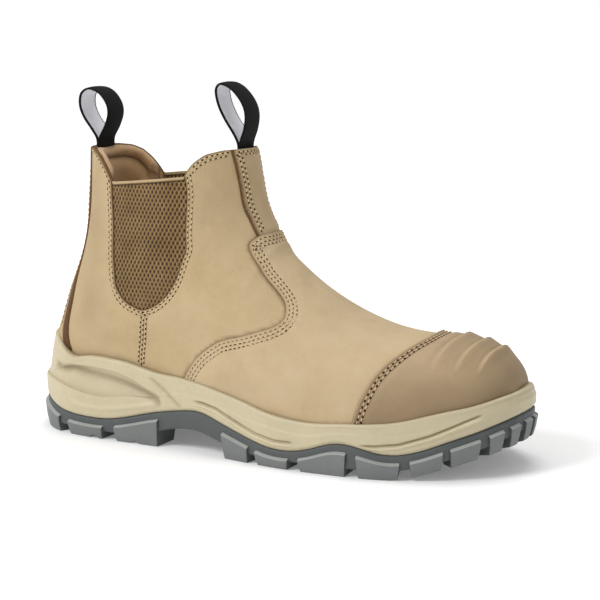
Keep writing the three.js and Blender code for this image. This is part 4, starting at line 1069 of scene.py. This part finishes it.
def make_linings():
    """The padded collar behind and in front of the gores, seen from above."""
    for node, middle, reach in (("collar_lining_rear", 1, 0.3), ("collar_lining_front", 0, 0.305)):
        girths = middle + np.linspace(-reach, reach, 44)
        base = [u - 2 if u > 1 else u for u in girths]
        top = np.array([(collar_station(u, 0.8), v) for u, v in zip(base, girths)])
        low = np.array([(station_where(u, 12.0, lambda x: COLLAR_HEIGHT - 42), v)
                        for u, v in zip(base, girths)])
        sides = [line_between(low[0] + [0.1, 0], top[0] - [0.1, 0]),
                 line_between(top[-1] - [0.1, 0], low[-1] + [0.1, 0])]
        edge = resample(top, 1.4)

        def inner(places, gap, edge=edge, sides=sides):
            depth = gap_to([edge], places)
            roll = np.sqrt(np.clip(1 - (1 - np.clip(depth / 3.2, 0, 1)) ** 2, 0, 1))
            thick = 0.6 + 4.2 * roll - 2.4 * bump(depth, 6.6, 1.5)
            thick += 1.4 * smoothstep(depth, 8, 14) - 3.4 * smoothstep(depth, 33, 41)
            return -WALL - 0.4 - thick * (0.25 + 0.75 * smoothstep(gap_to(sides, places), 0, 5))

        pad = panel(
            node + "_pad", joined(top, sides[1], low[::-1], sides[0]), [edge],
            lambda places, gap: -WALL - 0.3, 1.0, [LINING], rounding=0.2,
            rows=(0.8, 1.6, 2.6, 3.6, 4.6, 5.5, 6.1, 6.6, 7.1, 7.7, 8.6, 11), inner=inner,
            # Painted shade in the groove under the padded roll.
            tone=lambda places, gap, edge=edge: 0.8 * bump(gap_to([edge], places), 6.6, 0.8),
            replaces=(node,))


# The sole, as in the part's source: its outline at the lug tops and its heights along X
outline_row = table("step x outer inner middle", [
    [0, 0, 0, 0, 0], [1, 0.01, 0.147, 0.147, 0], [2, 0.036, 0.259, 0.259, 0],
    [3, 0.079, 0.339, 0.339, 0], [4, 0.138, 0.379, 0.379, 0], [5, 0.21, 0.395, 0.393, 0],
    [6, 0.289, 0.402, 0.393, 0], [7, 0.367, 0.415, 0.388, 0], [8, 0.446, 0.449, 0.411, 0],
    [9, 0.525, 0.4875, 0.446, 0], [10, 0.603, 0.512, 0.482, 0], [11, 0.682, 0.5125, 0.5, 0],
    [12, 0.757, 0.505, 0.503, 0.007], [13, 0.826, 0.469, 0.475, 0.022],
    [14, 0.887, 0.417, 0.418, 0.04], [15, 0.936, 0.332, 0.333, 0.054],
    [16, 0.972, 0.23, 0.23, 0.0625], [17, 0.993, 0.118, 0.119, 0.067], [18, 1, 0, 0, 0.071],
])
OUTLINE_STEPS = 18
sole_row = table("x under floor join ledge crest rim lean recess", [
    [0, 0.265, 0.382, 0.618, 0.94, 1.0, 1.72, 1.72, 0.1],
    [0.03, 0.176, 0.28, 0.559, 0.94, 1.03, 1.706, 1.34, 0.3],
    [0.066, 0.147, 0.235, 0.456, 0.912, 1.1, 1.597, 0.92, 0.7],
    [0.105, 0.135, 0.221, 0.382, 0.847, 1.19, 1.391, 0.66, 1],
    [0.144, 0.132, 0.221, 0.356, 0.788, 1.235, 1.418, 0.6, 1],
    [0.197, 0.132, 0.221, 0.365, 0.762, 1.22, 1.429, 0.6, 1],
    [0.252, 0.147, 0.235, 0.459, 0.824, 1.118, 1.376, 0.6, 0.8],
    [0.308, 0.25, 0.338, 0.588, 0.835, 0.95, 1.271, 0.6, 0.2],
    [0.361, 0.368, 0.471, 0.676, 0.882, 0.985, 1.235, 0.6, 0],
    [0.407, 0.368, 0.471, 0.706, 0.85, 0.956, 1.176, 0.6, 0],
    [0.452, 0.265, 0.368, 0.594, 0.75, 0.868, 1.1, 0.6, 0],
    [0.505, 0.162, 0.265, 0.447, 0.647, 0.765, 0.994, 0.6, 0],
    [0.554, 0.135, 0.235, 0.332, 0.568, 0.682, 0.882, 0.6, 0],
    [0.603, 0.132, 0.221, 0.309, 0.512, 0.626, 0.824, 0.6, 0],
    [0.649, 0.132, 0.221, 0.391, 0.518, 0.618, 0.809, 0.6, 0],
    [0.692, 0.132, 0.221, 0.512, 0.603, 0.691, 0.838, 0.6, 0],
    [0.734, 0.132, 0.221, 0.503, 0.618, 0.715, 0.865, 0.6, 0],
    [0.774, 0.132, 0.221, 0.424, 0.606, 0.706, 0.894, 0.6, 0],
    [0.813, 0.153, 0.247, 0.409, 0.597, 0.721, 0.941, 0.6, 0],
    [0.852, 0.235, 0.332, 0.488, 0.676, 0.803, 1.026, 0.6, 0],
    [0.898, 0.338, 0.441, 0.64, 0.822, 0.931, 1.12, 0.6, 0],
    [0.938, 0.456, 0.559, 0.765, 0.962, 1.048, 1.19, 0.6, 0],
    [0.97, 0.574, 0.676, 0.88, 1.054, 1.145, 1.276, 0.6, 0],
    [1, 0.706, 0.794, 0.985, 1.12, 1.215, 1.345, 0.6, 0],
])
ledge_row = table("x out", [
    [0, 0.25], [0.1, 0.5], [0.25, 0.5], [0.31, 0.1], [0.37, 0], [0.41, 0.35], [0.5, 0.4],
    [0.59, 0.3], [0.64, 0], [0.73, 0], [0.78, 0.35], [0.88, 0.4], [0.93, 0.3], [0.96, 0], [1, 0],
])
TRAY_INSET = PLATE_INSET + 3.2
PLATE_ROUND = 1.5
TRAY_BEVEL = 0.8
BAND_INSET = PLATE_INSET - 0.4
BAND_ROUND = 2.0
LEDGE_ROUND = 0.5
CREST_ROUND = 0.9


def outline_points(steps, side, inset):
    """Points of the sole's outline in plan, moved in by the inset, with their inward ways."""
    def place(at):
        row = outline_row(at)
        across = SOLE_WIDTH * (row["middle"] + side * row[SIDE_NAMES[side]])
        return np.stack([row["x"] * SOLE_LENGTH, across], axis=-1)

    probe = 0.01
    at = np.clip(steps, probe, OUTLINE_STEPS - probe)
    along = unit(place(at + probe) - place(at - probe))
    inward = np.stack([side * along[:, 1], -side * along[:, 0]], axis=-1)
    inward[steps <= 0] = [1, 0]
    inward[steps >= OUTLINE_STEPS] = [-1, 0]
    inset = np.broadcast_to(inset, steps.shape)
    return place(steps) + inward * inset[..., None], inward


def sole_at(steps):
    share = outline_row(steps)["x"]
    at = sole_row(share)
    for name in ("under", "floor", "join", "ledge", "crest", "rim"):
        at[name] = at[name] * HEEL_HEIGHT
    at["x"] = share * SOLE_LENGTH
    at["lean"] = at["lean"] * SIDE_REACH
    at["out"] = ledge_row(share)["out"] * (1 - smoothstep(at["x"], 80, 110))
    return at


# Steps round one side of the sole, closer together at the tight ends
HALF_RING = 330
RING = np.linspace(0, 1, HALF_RING)
RING = OUTLINE_STEPS * (RING - 0.035 * np.sin(4 * math.pi * RING))


def ring_of(sides):
    """A closed ring from the outer side's values and then the inner side's, reversed."""
    outer, inner = sides
    return np.concatenate([outer, inner[-2:0:-1]])


def outline_ring(inset, height):
    return ring_of([np.column_stack([outline_points(RING, side, inset)[0], height])
                    for side in SIDES])


def stacked(rings):
    """Points and faces of a solid from closed rings, with strips of faces over both ends."""
    count = len(rings[0])
    faces = quads(len(rings), count)
    for offset, way in ((0, -1), ((len(rings) - 1) * count, 1)):
        for i in range(count // 2):
            face = dict.fromkeys([i, i + 1, count - i - 1, (count - i) % count])
            faces.append(tuple(k + offset for k in list(face)[::way]))
    return np.vstack(rings), faces


# Moulded lines on the midsole's side, in side view: line, depth inwards and width
MIDSOLE_LINES = [
    ([(20, 40.5), (26.7, 39.1), (35, 40.3), (47.6, 38.6), (62, 37), (73.3, 34.8), (82.7, 32),
      (92, 29.2), (98, 26)], 1.7, 2.2),
    ([(90, 40.5), (93, 38.8), (99.5, 34.5), (109, 27.6), (113, 24.5)], 1.0, 0.9),
    ([(122, 30.2), (127, 30), (136.6, 28.2), (149.9, 22.9), (163, 18), (176, 15.5), (187, 15.8)],
     1.3, 0.6),
    ([(228, 18.3), (236, 18.6), (248.5, 20.2), (264.5, 25.4), (280.1, 32.4), (288, 35.6)],
     1.3, 0.6),
    ([(122, 28.5), (127, 28.3), (136.6, 26.5), (149.9, 21.2), (163, 16.3), (176, 13.8),
      (187, 14.1)], -0.9, 0.7),
    ([(228, 16.6), (236, 16.9), (248.5, 18.5), (264.5, 23.7), (280.1, 30.7), (288, 33.9)],
     -0.9, 0.7),
    ([(34.6, 21.6), (44.2, 19.2), (58.7, 19), (76.8, 21.8), (95, 25.4)], -0.8, 1.4),
]


def midsole_relief(x, z):
    """How far the midsole's side stands in, from its moulded lines."""
    points = np.stack([x, z], axis=1)
    inset = np.zeros(len(points))
    for line, depth, width in MIDSOLE_LINES:
        line = np.array(line)
        gap = np.full(len(points), 1e9)
        for start, run in zip(line, np.diff(line, axis=0)):
            share = np.clip(((points - start) @ run) / (run @ run), 0, 1)
            away = points - start - share[:, None] * run
            gap = np.minimum(gap, np.linalg.norm(away, axis=1))
        ends = np.minimum(x - line[0, 0], line[-1, 0] - x)
        inset += depth * bump(gap, 0, width) * smoothstep(ends, -1.5, 2)
    return inset


def wall_tree(stations, girths, lift_at):
    """A wall of the upper that rays can meet."""
    t, u = np.meshgrid(stations, girths, indexing="ij")
    points = skin(t, u, lift_at(t, np.abs(u))).reshape(-1, 3)
    return BVHTree.FromPolygons([tuple(point) for point in points.tolist()], quads(*t.shape))


def visible_lift(station, girth):
    """The outer surface of the finished upper where it meets the sole."""
    cap = (1 - smoothstep(station, 6.0, 6.3)) * (1 - smoothstep(girth, 0.66, 0.7))
    back = smoothstep(station, 12.95, 13.3) * smoothstep(girth, 0.78, 0.82)
    return (VAMP_LIFT * (1 - smoothstep(station, 10.3, 10.5))
            + (CAP_LIFT - 0.6 - VAMP_LIFT) * cap + STRIP_LIFT * back)


def meeting_ring(tree, drop, sink):
    """Where rays from the sole's outline, level and square to it, meet the upper."""
    height = sole_at(RING)["rim"] - drop
    sides = []
    for side in SIDES:
        points = []
        for place, inward, z in zip(*outline_points(RING, side, 0), height):
            start = Vector((*place, z))
            way = Vector((*inward, 0))
            hit = tree.ray_cast(start - way * 2, way)[0]
            reach = 14.0 if hit is None else (hit - start).length
            points.append(tuple(start + way * (reach + sink)))
        sides.append(np.array(points))
    return ring_of(sides)


def profile_layers(at):
    """The midsole's side from its foot to its rim, as rounded steps of inset and height."""
    lean, join, ledge, crest, rim = (at[name] for name in ("lean", "join", "ledge", "crest", "rim"))
    heel = 1 - smoothstep(at["x"], 80, 110)
    keys = np.array([np.broadcast_arrays(*key) for key in (
        (PLATE_INSET + TRAY_BEVEL, join + GAP),
        (BAND_INSET, join + BAND_ROUND),
        (BAND_INSET - at["out"], ledge - LEDGE_ROUND),
        (BAND_INSET + heel * (PLATE_INSET - BAND_INSET + LEDGE_ROUND) + at["recess"],
         ledge + LEDGE_ROUND),
        (BAND_INSET + heel * (PLATE_INSET - BAND_INSET) + 2 * at["recess"], crest - CREST_ROUND),
        (PLATE_INSET + (lean - PLATE_INSET) * 0.3, crest + CREST_ROUND),
        (PLATE_INSET + (lean - PLATE_INSET) * 0.7, crest + (rim - crest) * 0.6),
        (lean - 0.2, rim - 2.6), (lean, rim - 1.2), (lean + 0.5, rim - 0.35), (lean + 1.4, rim),
    )])
    layers = []
    for k in range(len(keys) - 1):
        count = {1: 12, 3: 12, 5: 12, 2: 8, 4: 8, 6: 8}.get(k, 4)
        nodes = keys[[max(k - 1, 0), k, k + 1, min(k + 2, len(keys) - 1)]]
        for f in np.arange(count) / count:
            smooth = sum(weight * node for weight, node in zip(cubic_weights(f)[0], nodes))
            straight = keys[k] + (keys[k + 1] - keys[k]) * f
            layers.append(straight + (smooth - straight) * 0.7)
    return layers + [keys[-1]]


def make_midsole():
    at = sole_at(RING)
    rings = [outline_ring(TRAY_INSET + GAP, at[name] + GAP) for name in ("floor", "join")]
    shade = [np.zeros(len(rings[0]))] * 2
    for inset, height in profile_layers(at):
        relief = (midsole_relief(at["x"], height) * smoothstep(at["rim"] - height, 2.0, 4.5)
                  * smoothstep(height - at["join"], 1.0, 3.0))
        rings.append(outline_ring(inset + relief, height))
        # Painted shade in the moulded lines that stand in, painted highlight on those that stand
        # out.
        shade.append(ring_of([np.clip(relief * 0.34, -0.4, 0.5)] * 2))
    stations = np.concatenate([np.linspace(0.05, 2, 30), np.linspace(2.1, 17, 190)])
    tree = wall_tree(stations, np.linspace(-1, 1, 257)[:-1], visible_lift)
    for drop, sink in ((0.1, 0.05), (2.0, 0.12), (7.0, 0.12)):
        rings.append(meeting_ring(tree, drop, sink))
        shade.append(shade[0])
    points, faces = stacked(rings)
    make_piece("midsole_cover", points, faces, [FOAM],
               tone=np.concatenate(shade), replaces=("midsole",))


# Lugs along each side of the outsole: the outline steps where each begins and ends
SIDE_LUGS = [
    (0.25, 3.05), (3.5, 4.75), (5.1, 6.35), (8.2, 8.95), (9.15, 10.05), (10.3, 11.5),
    (11.75, 12.85), (13.1, 14), (14.2, 15.15), (15.45, 16.05), (16.35, 16.9), (17.25, 17.85),
]
# Lugs down the middle and bars under the arch: middle, length and half width, as shares
CENTRE_LUGS = [
    (0.13, 0.045, 0.13), (0.22, 0.045, 0.13), (0.545, 0.04, 0.2), (0.615, 0.04, 0.21),
    (0.685, 0.04, 0.21), (0.755, 0.04, 0.2), (0.825, 0.04, 0.16), (0.888, 0.03, 0.11),
]
ARCH_BARS = [(0.362, 0.03, 0.3), (0.418, 0.03, 0.3)]
# A side lug's reach under the sole. Its least value keeps the last lugs thick at the toe
LUG_REACH = (8.0, 22.0)
LUG_BEVEL = 1.6
LEDGE_DROP = 3.4
LUG_DRAFT = 1.3
LUG_ROOT = 1.8
LUG_SHOULDER = 2.8
LUG_SHARE = 0.8
LUG_PULL = 0.05
# Small round notches in the feet of two heel lugs
NOTCHES = (51.5, 80.0)
NOTCH_RADIUS = 2.3


def ground_at(x):
    heel = np.maximum(0, 1 - x / 12.0)
    start = 0.797 * SOLE_LENGTH
    toe = np.maximum(0, (x - start) / (SOLE_LENGTH - start))
    return 3.0 * heel ** 2 + 18.5 * toe ** 1.25


def foot_height(x):
    notches = (np.sqrt(np.maximum(0, NOTCH_RADIUS ** 2 - (x - notch) ** 2)) for notch in NOTCHES)
    return ground_at(x) + 0.75 * sum(notches)


def under_at(x):
    return sole_row(x / SOLE_LENGTH)["under"] * HEEL_HEIGHT + LUG_ROOT


def side_lug(side, start, end):
    """A lug's section across the outline, swept along it: points, faces and material numbers."""
    spans = max(6, int((end - start) * 9))
    share = np.linspace(0, 1, spans + 1)
    high = start + (end - start) * share
    low = high + (1 - 2 * share) * LUG_PULL
    top = sole_at(high)["join"] - LEDGE_DROP
    half = outline_row(high)[SIDE_NAMES[side]]
    reach = np.clip(SOLE_WIDTH * half * LUG_SHARE, *LUG_REACH)
    rings = np.stack([
        np.column_stack([plan, height(plan[:, 0])]) for plan, height in (
            (outline_points(steps, side, inset)[0], height) for steps, inset, height in (
                (low, LUG_DRAFT + PLATE_INSET / 2, foot_height),
                ((low + high) / 2, 0.9, lambda x: ground_at(x) * 0.55 + (top - LUG_BEVEL) * 0.45),
                (high, 0.0, lambda x: top - LUG_BEVEL), (high, LUG_SHOULDER, lambda x: top),
                (high, LUG_SHOULDER + 1.2, under_at), (high, reach, under_at),
                (low, reach - LUG_DRAFT, ground_at)))], axis=1)
    count = rings.shape[1]
    faces = quads(spans + 1, count)
    faces += [tuple(range(count))[::-1], tuple(range(spans * count, (spans + 1) * count))]
    if side == OUTER:
        faces = [face[::-1] for face in faces]
    return rings.reshape(-1, 3), faces, [1 if i == 2 else 0 for i in range(count)] * spans + [2, 2]


def centre_block(middle, length, half, drop=None):
    share = np.linspace(0, OUTLINE_STEPS, 200)
    row = outline_row(share)
    centre = SOLE_WIDTH * np.interp(middle, row["x"], row["middle"])
    points = []
    for grow in (0, LUG_DRAFT):
        for sx, sy in ((-1, -1), (1, -1), (1, 1), (-1, 1)):
            x = middle * SOLE_LENGTH + sx * (length * SOLE_LENGTH / 2 + grow)
            z = under_at(x)
            if not grow:
                z = ground_at(x) if drop is None else z - LUG_ROOT - drop
            points.append((x, centre + sy * (half * SOLE_WIDTH + grow), float(z)))
    faces = [(3, 2, 1, 0), (4, 5, 6, 7), (0, 1, 5, 4), (1, 2, 6, 5), (2, 3, 7, 6), (3, 0, 4, 7)]
    return points, faces, [0] * 6


def make_outsole():
    at = sole_at(RING)
    points, faces = stacked([outline_ring(inset, at[name] + extra) for inset, name, extra in (
        (PLATE_INSET + 4.0, "under", 0.0), (PLATE_INSET + PLATE_ROUND, "under", 0.0),
        (PLATE_INSET + 0.4, "under", 0.45), (PLATE_INSET, "under", PLATE_ROUND),
        (PLATE_INSET, "join", -1.4), (PLATE_INSET, "join", -TRAY_BEVEL),
        (PLATE_INSET + TRAY_BEVEL, "join", 0.0), (TRAY_INSET, "join", 0.0),
        (TRAY_INSET, "floor", 0.0))])
    make_piece("outsole_plate", points, faces, [SOLE_SHADED],
               replaces=("outsole",))
    blocks = [side_lug(side, *lug) for lug in SIDE_LUGS for side in SIDES]
    blocks += [centre_block(*lug) for lug in CENTRE_LUGS]
    blocks += [centre_block(*bar, LUG_BEVEL) for bar in ARCH_BARS]
    points, faces, numbers = [], [], []
    for block, block_faces, block_numbers in blocks:
        faces += [tuple(k + len(points) for k in face) for face in block_faces]
        points.extend(block)
        numbers += block_numbers
    piece = make_piece("outsole_lugs", points, faces,
                       [SOLE, SOLE_LEDGE, SOLE_SHADED], numbers, replaces=("outsole",))
    edges = piece.modifiers.new("edges", "BEVEL")
    edges.width = 0.00045
    edges.segments = 2
    edges.limit_method = "ANGLE"
    edges.angle_limit = math.radians(22)
    edges.harden_normals = False
    piece.modifiers.new("normals", "WEIGHTED_NORMAL").keep_sharp = True


def make_footbed():
    """The insole: its edge meets the inner wall, and it is cupped under the heel."""
    seat = surface(np.linspace(0, 13.4, 80), 1.0)[0]
    seat = seat[np.argsort(seat[:, 0])]

    def bed(x):
        return np.interp(x, seat[:, 0], seat[:, 2]) + WALL + 5.0

    def middle(x):
        return np.interp(x, seat[:, 0], seat[:, 1])

    tree = wall_tree(np.linspace(0.4, 20, 150), np.linspace(-1, 1, 161)[:-1],
                     lambda t, u: np.full(t.shape, -WALL - 0.4))
    spine_start, spine_end = 48.0, 250.0
    edge = []
    for angle in np.linspace(0, 2 * math.pi, 181)[:-1]:
        x = (spine_start + spine_end) / 2 + (spine_end - spine_start) / 2 * math.cos(angle)
        centre = Vector((x, middle(x), bed(x) + 1.0))
        ahead = 1.0 if abs(math.cos(angle)) >= 0.985 else 0.25
        way = Vector((ahead * math.cos(angle), math.sin(angle), 0)).normalized()
        hit = tree.ray_cast(centre, way)[0]
        edge.append(tuple(hit if hit is not None else centre + way * 30))
    edge = np.array(edge)
    spine = np.column_stack([np.clip(edge[:, 0], spine_start, spine_end), middle(edge[:, 0]),
                             edge[:, 2]])
    rings = []
    for share, drop in ((1.0, 4.5), (1.0, 0.9), (0.985, 0.25), (0.95, 0.0), (0.85, 0.0),
                        (0.7, 0.0), (0.5, 0.0), (0.3, 0.0), (0.1, 0.0)):
        ring = spine + (edge - spine) * share
        cup = 1.6 + 1.4 * smoothstep(110 - ring[:, 0], 0, 50)
        ring[:, 2] = bed(ring[:, 0]) + cup * share ** 4 - 0.2 - drop
        rings.append(ring)
    points, faces = stacked(rings)
    make_piece("footbed", points, faces, [BED], replaces=("insole",))


# Pull loops: a webbing band that crosses itself at its foot, black outside and white inside
LOOP_LINE = [
    (0.03, 0), (0.07, 0.1), (0.28, 0.3), (0.45, 0.52), (0.46, 0.72), (0.28, 0.92), (-0.06, 1),
    (-0.4, 0.9), (-0.54, 0.68), (-0.46, 0.46), (-0.22, 0.24), (-0.07, 0.1), (-0.03, 0),
]
LOOP_TUCK = 9.0
# Each loop's foot in side view, the lean of its foot, its height, span and backward bend
LOOP_PLACES = {
    "rear": (37.8, 171.0, -0.0364, 32.0, 19.5, 0.15),
    "front": (131.4, 171.0, 0.2, 36.6, 16.4, 0.29),
}


def make_loops():
    wide = LOOP_WIDTH / 2
    half = WEBBING / 2
    section = [(-wide + 0.1, 0.35), (-wide + 0.5, 0.62), (-wide + 1.4, 0.65)]
    section += [(y, 0.65) for y in np.linspace(-wide + 3.2, wide - 3.2, 7)]
    section += [(wide - 1.4, 0.65), (wide - 0.5, 0.62), (wide - 0.1, 0.35)]
    y, out = np.vstack([section, np.array(section)[::-1] * [1, -1]]).T
    count = len(y)
    pale = [len(section) <= i < count - 1 and abs(y[i] + y[(i + 1) % count]) / 2 < wide - 1.3
            for i in range(count)]
    for where, (x, z, lean, height, span, bend) in LOOP_PLACES.items():
        line = [(lx * span - bend * lz * height * lz, lz * height) for lx, lz in LOOP_LINE]
        line = ([(lean * LOOP_TUCK + half, -LOOP_TUCK), (half, -2)] + line
                + [(-half, -2), (lean * LOOP_TUCK - half, -LOOP_TUCK)])
        centre = dense_line(line, 20)
        centre = even(centre, run_along(centre), np.linspace(0, 1, 120))
        tangent = unit(np.gradient(centre, axis=0))
        points = []
        for share, (cx, cz), (tx, tz) in zip(np.linspace(0, 1, len(centre)), centre, tangent):
            offset = out - 0.5 * math.sin(math.pi * share) * (y / wide) ** 2
            points.append(np.column_stack([x + cx + tz * offset, y, z + cz - tx * offset]))
        faces = quads(len(points), count)
        faces += [tuple(range(count))[::-1],
                  tuple(range((len(points) - 1) * count, len(points) * count))]
        numbers = [int(white) for white in pale] * (len(points) - 1) + [0, 0]
        make_piece(f"pull_loop_{where}_band", np.vstack(points), faces, [BLACK, WHITE],
                   numbers, replaces=(f"pull_loop_{where}",))


def rows_beside(line, side, distances, lift, phase=0.4):
    """Stitch rows at distances beside a line, every second one out of step by the phase."""
    rows = [shift(line, side * distance) for distance in distances]
    return [(row, lift(row), phase * (k % 2)) for k, row in enumerate(rows)]


def make_stitches():
    rows = []
    for side in SIDES:
        edge = vamp_line(side, 0.72)
        rows += rows_beside(edge, -side, VAMP_ROWS,
                            lambda row: vamp_lift(row, gap_to([edge], row)) + 0.02)
    stitches("vamp_stitches", rows, 2.9, hole_radius=0.68)

    def over_quarter(side, at_least=0.0, more=0.02):
        edge = quarter_outline(side)[1]
        return lambda row: quarter_lift(row, np.maximum(gap_to([edge], row), at_least)) + more

    rows = []
    for side in SIDES:
        rows += rows_beside(window_edge(side, 1.3), side, QUARTER_ROWS, over_quarter(side))
    for side in SIDES:
        for start, end, count, distances in ((0.68, 0.9, 28, (1.6,)), (0.13, 0.3, 24, (1.6, 3.6))):
            edge = resample(collar_edge(start, end, count, side), 1.3)
            rows += rows_beside(edge, -side, distances, over_quarter(side))
    stitches("quarter_stitches", rows, 3.1)
    seam = np.array([(12.41, 0.528), (12.02, 0.593), (11.75, 0.649), (11.48, 0.724)])
    rows = []
    for side in SIDES:
        rows += rows_beside(resample(seam * [1, side], 1.3), side, (-3.6, -1.8, 0.0),
                            over_quarter(side, 4.0, 0.06))
    stitches("gore_seam_stitches", rows, 2.9)
    edge = cap_line()
    rows = [(shift(edge, -distance), distance, phase) for distance, phase in ((2.9, 0), (4.9, 0.5))]
    rows = [(row, cap_lift(row, np.full(len(row), distance)) + 0.02, phase)
            for row, distance, phase in rows]
    stitches("cap_stitches", rows, 3.5, 0.42, 0.72)

    def on_strip(row):
        return STRIP_LIFT + 0.02

    rows = []
    stations = np.linspace(11.1, 19.4, 60)
    for side in SIDES:
        line = np.stack([stations, side * front_strip(stations)["half"]], axis=1)
        rows += rows_beside(resample(line, 1.4), side, (3.5, 5.5), on_strip, 0.5)
    for side in SIDES:
        line = resample(collar_edge(0.0, 0.105, 14, side), 1.2)
        rows += rows_beside(line, -side, (1.8, 3.4), on_strip, 0.5)
    stitches("front_strip_stitches", rows, 3.0)
    rows = []
    stations = np.linspace(14.4, 20.3, 50)
    for side in SIDES:
        line = np.stack([stations, side * (1 - back_strip(stations)["half"])], axis=1)
        rows += rows_beside(resample(line, 1.4), -side, (7.2, 9.2), on_strip, 0.5)
    stitches("back_strip_stitches", rows, 3.3)


# Floor, light and camera

FLOOR_SIZE = 40.0
# The floor's own light under the boot and far away, so the ground is white all over
FLOOR_GLOW = (0.16, 0.56)
WORLD_LIGHT = 0.5
CAMERA_AZIMUTH = math.radians(26.0)
CAMERA_HEIGHT = math.radians(10.1)
CAMERA_TARGET = np.array([150.0, 0.0, 80.0])
CAMERA_DISTANCE = 1000.0
CAMERA_LENS = 103.86
CAMERA_SHIFT = (0.042, 0.01)


def make_floor():
    mesh = bpy.data.meshes.new("floor")
    corners = [(x * FLOOR_SIZE, y * FLOOR_SIZE, 0) for x, y in ((-1, -1), (1, -1), (1, 1), (-1, 1))]
    mesh.from_pydata(corners, [], [(0, 1, 2, 3)])
    s = Shader("floor", Roughness=0.7, Specular_IOR_Level=0.2, Emission_Color=(1, 1, 1, 1))
    s.feed(s.surface.inputs["Base Color"], (0.9, 0.9, 0.9))
    away = s.node("ShaderNodeVectorMath", operation="LENGTH")
    s.feed(away.inputs[0], s.place)
    s.feed(s.surface.inputs["Emission Strength"],
           s.spread(away.outputs["Value"], 150, 900, *FLOOR_GLOW))
    mesh.materials.append(s.material)
    placed("floor", mesh)


def aimed(name, data, place, way):
    item = placed(name, data)
    item.location = place
    item.rotation_euler = Vector(way).to_track_quat("-Z", "Y").to_euler()
    return item


def make_camera_and_light():
    across = math.cos(CAMERA_HEIGHT)
    back = np.array([math.sin(CAMERA_AZIMUTH) * across, -math.cos(CAMERA_AZIMUTH) * across,
                     math.sin(CAMERA_HEIGHT)])
    data = bpy.data.cameras.new("camera")
    data.lens = CAMERA_LENS
    data.sensor_width = 36.0
    data.shift_x, data.shift_y = CAMERA_SHIFT
    data.clip_start = 0.01
    place = (CAMERA_TARGET + back * CAMERA_DISTANCE - ORIGIN) / 1000
    bpy.context.scene.camera = aimed("camera", data, place.tolist(), (-back).tolist())
    for name, place, size, power in (("key", (-0.6, -1.0, 1.1), 0.55, 13),
                                     ("top", (0.0, 0.35, 1.5), 0.9, 8.5)):
        data = bpy.data.lights.new(name, "AREA")
        data.shape = "DISK"
        data.size = size
        data.energy = power
        aimed(name, data, place, Vector((0, 0, 0.08)) - Vector(place))
    world = bpy.data.worlds.new("studio")
    world.use_nodes = True
    tree = world.node_tree
    background = tree.nodes["Background"]
    white = tree.nodes.new("ShaderNodeBackground")
    for node, strength in ((background, WORLD_LIGHT), (white, 1)):
        node.inputs["Color"].default_value = (1, 1, 1, 1)
        node.inputs["Strength"].default_value = strength
    seen = tree.nodes.new("ShaderNodeLightPath")
    both = tree.nodes.new("ShaderNodeMixShader")
    tree.links.new(seen.outputs["Is Camera Ray"], both.inputs["Fac"])
    tree.links.new(background.outputs[0], both.inputs[1])
    tree.links.new(white.outputs[0], both.inputs[2])
    tree.links.new(both.outputs[0], tree.nodes["World Output"].inputs["Surface"])
    bpy.context.scene.world = world
    bpy.context.scene.view_settings.view_transform = "Standard"


make_quarters_and_vamp()
make_cap()
make_strips()
make_gores()
make_linings()
make_midsole()
make_outsole()
make_footbed()
make_loops()
make_stitches()
make_floor()
make_camera_and_light()
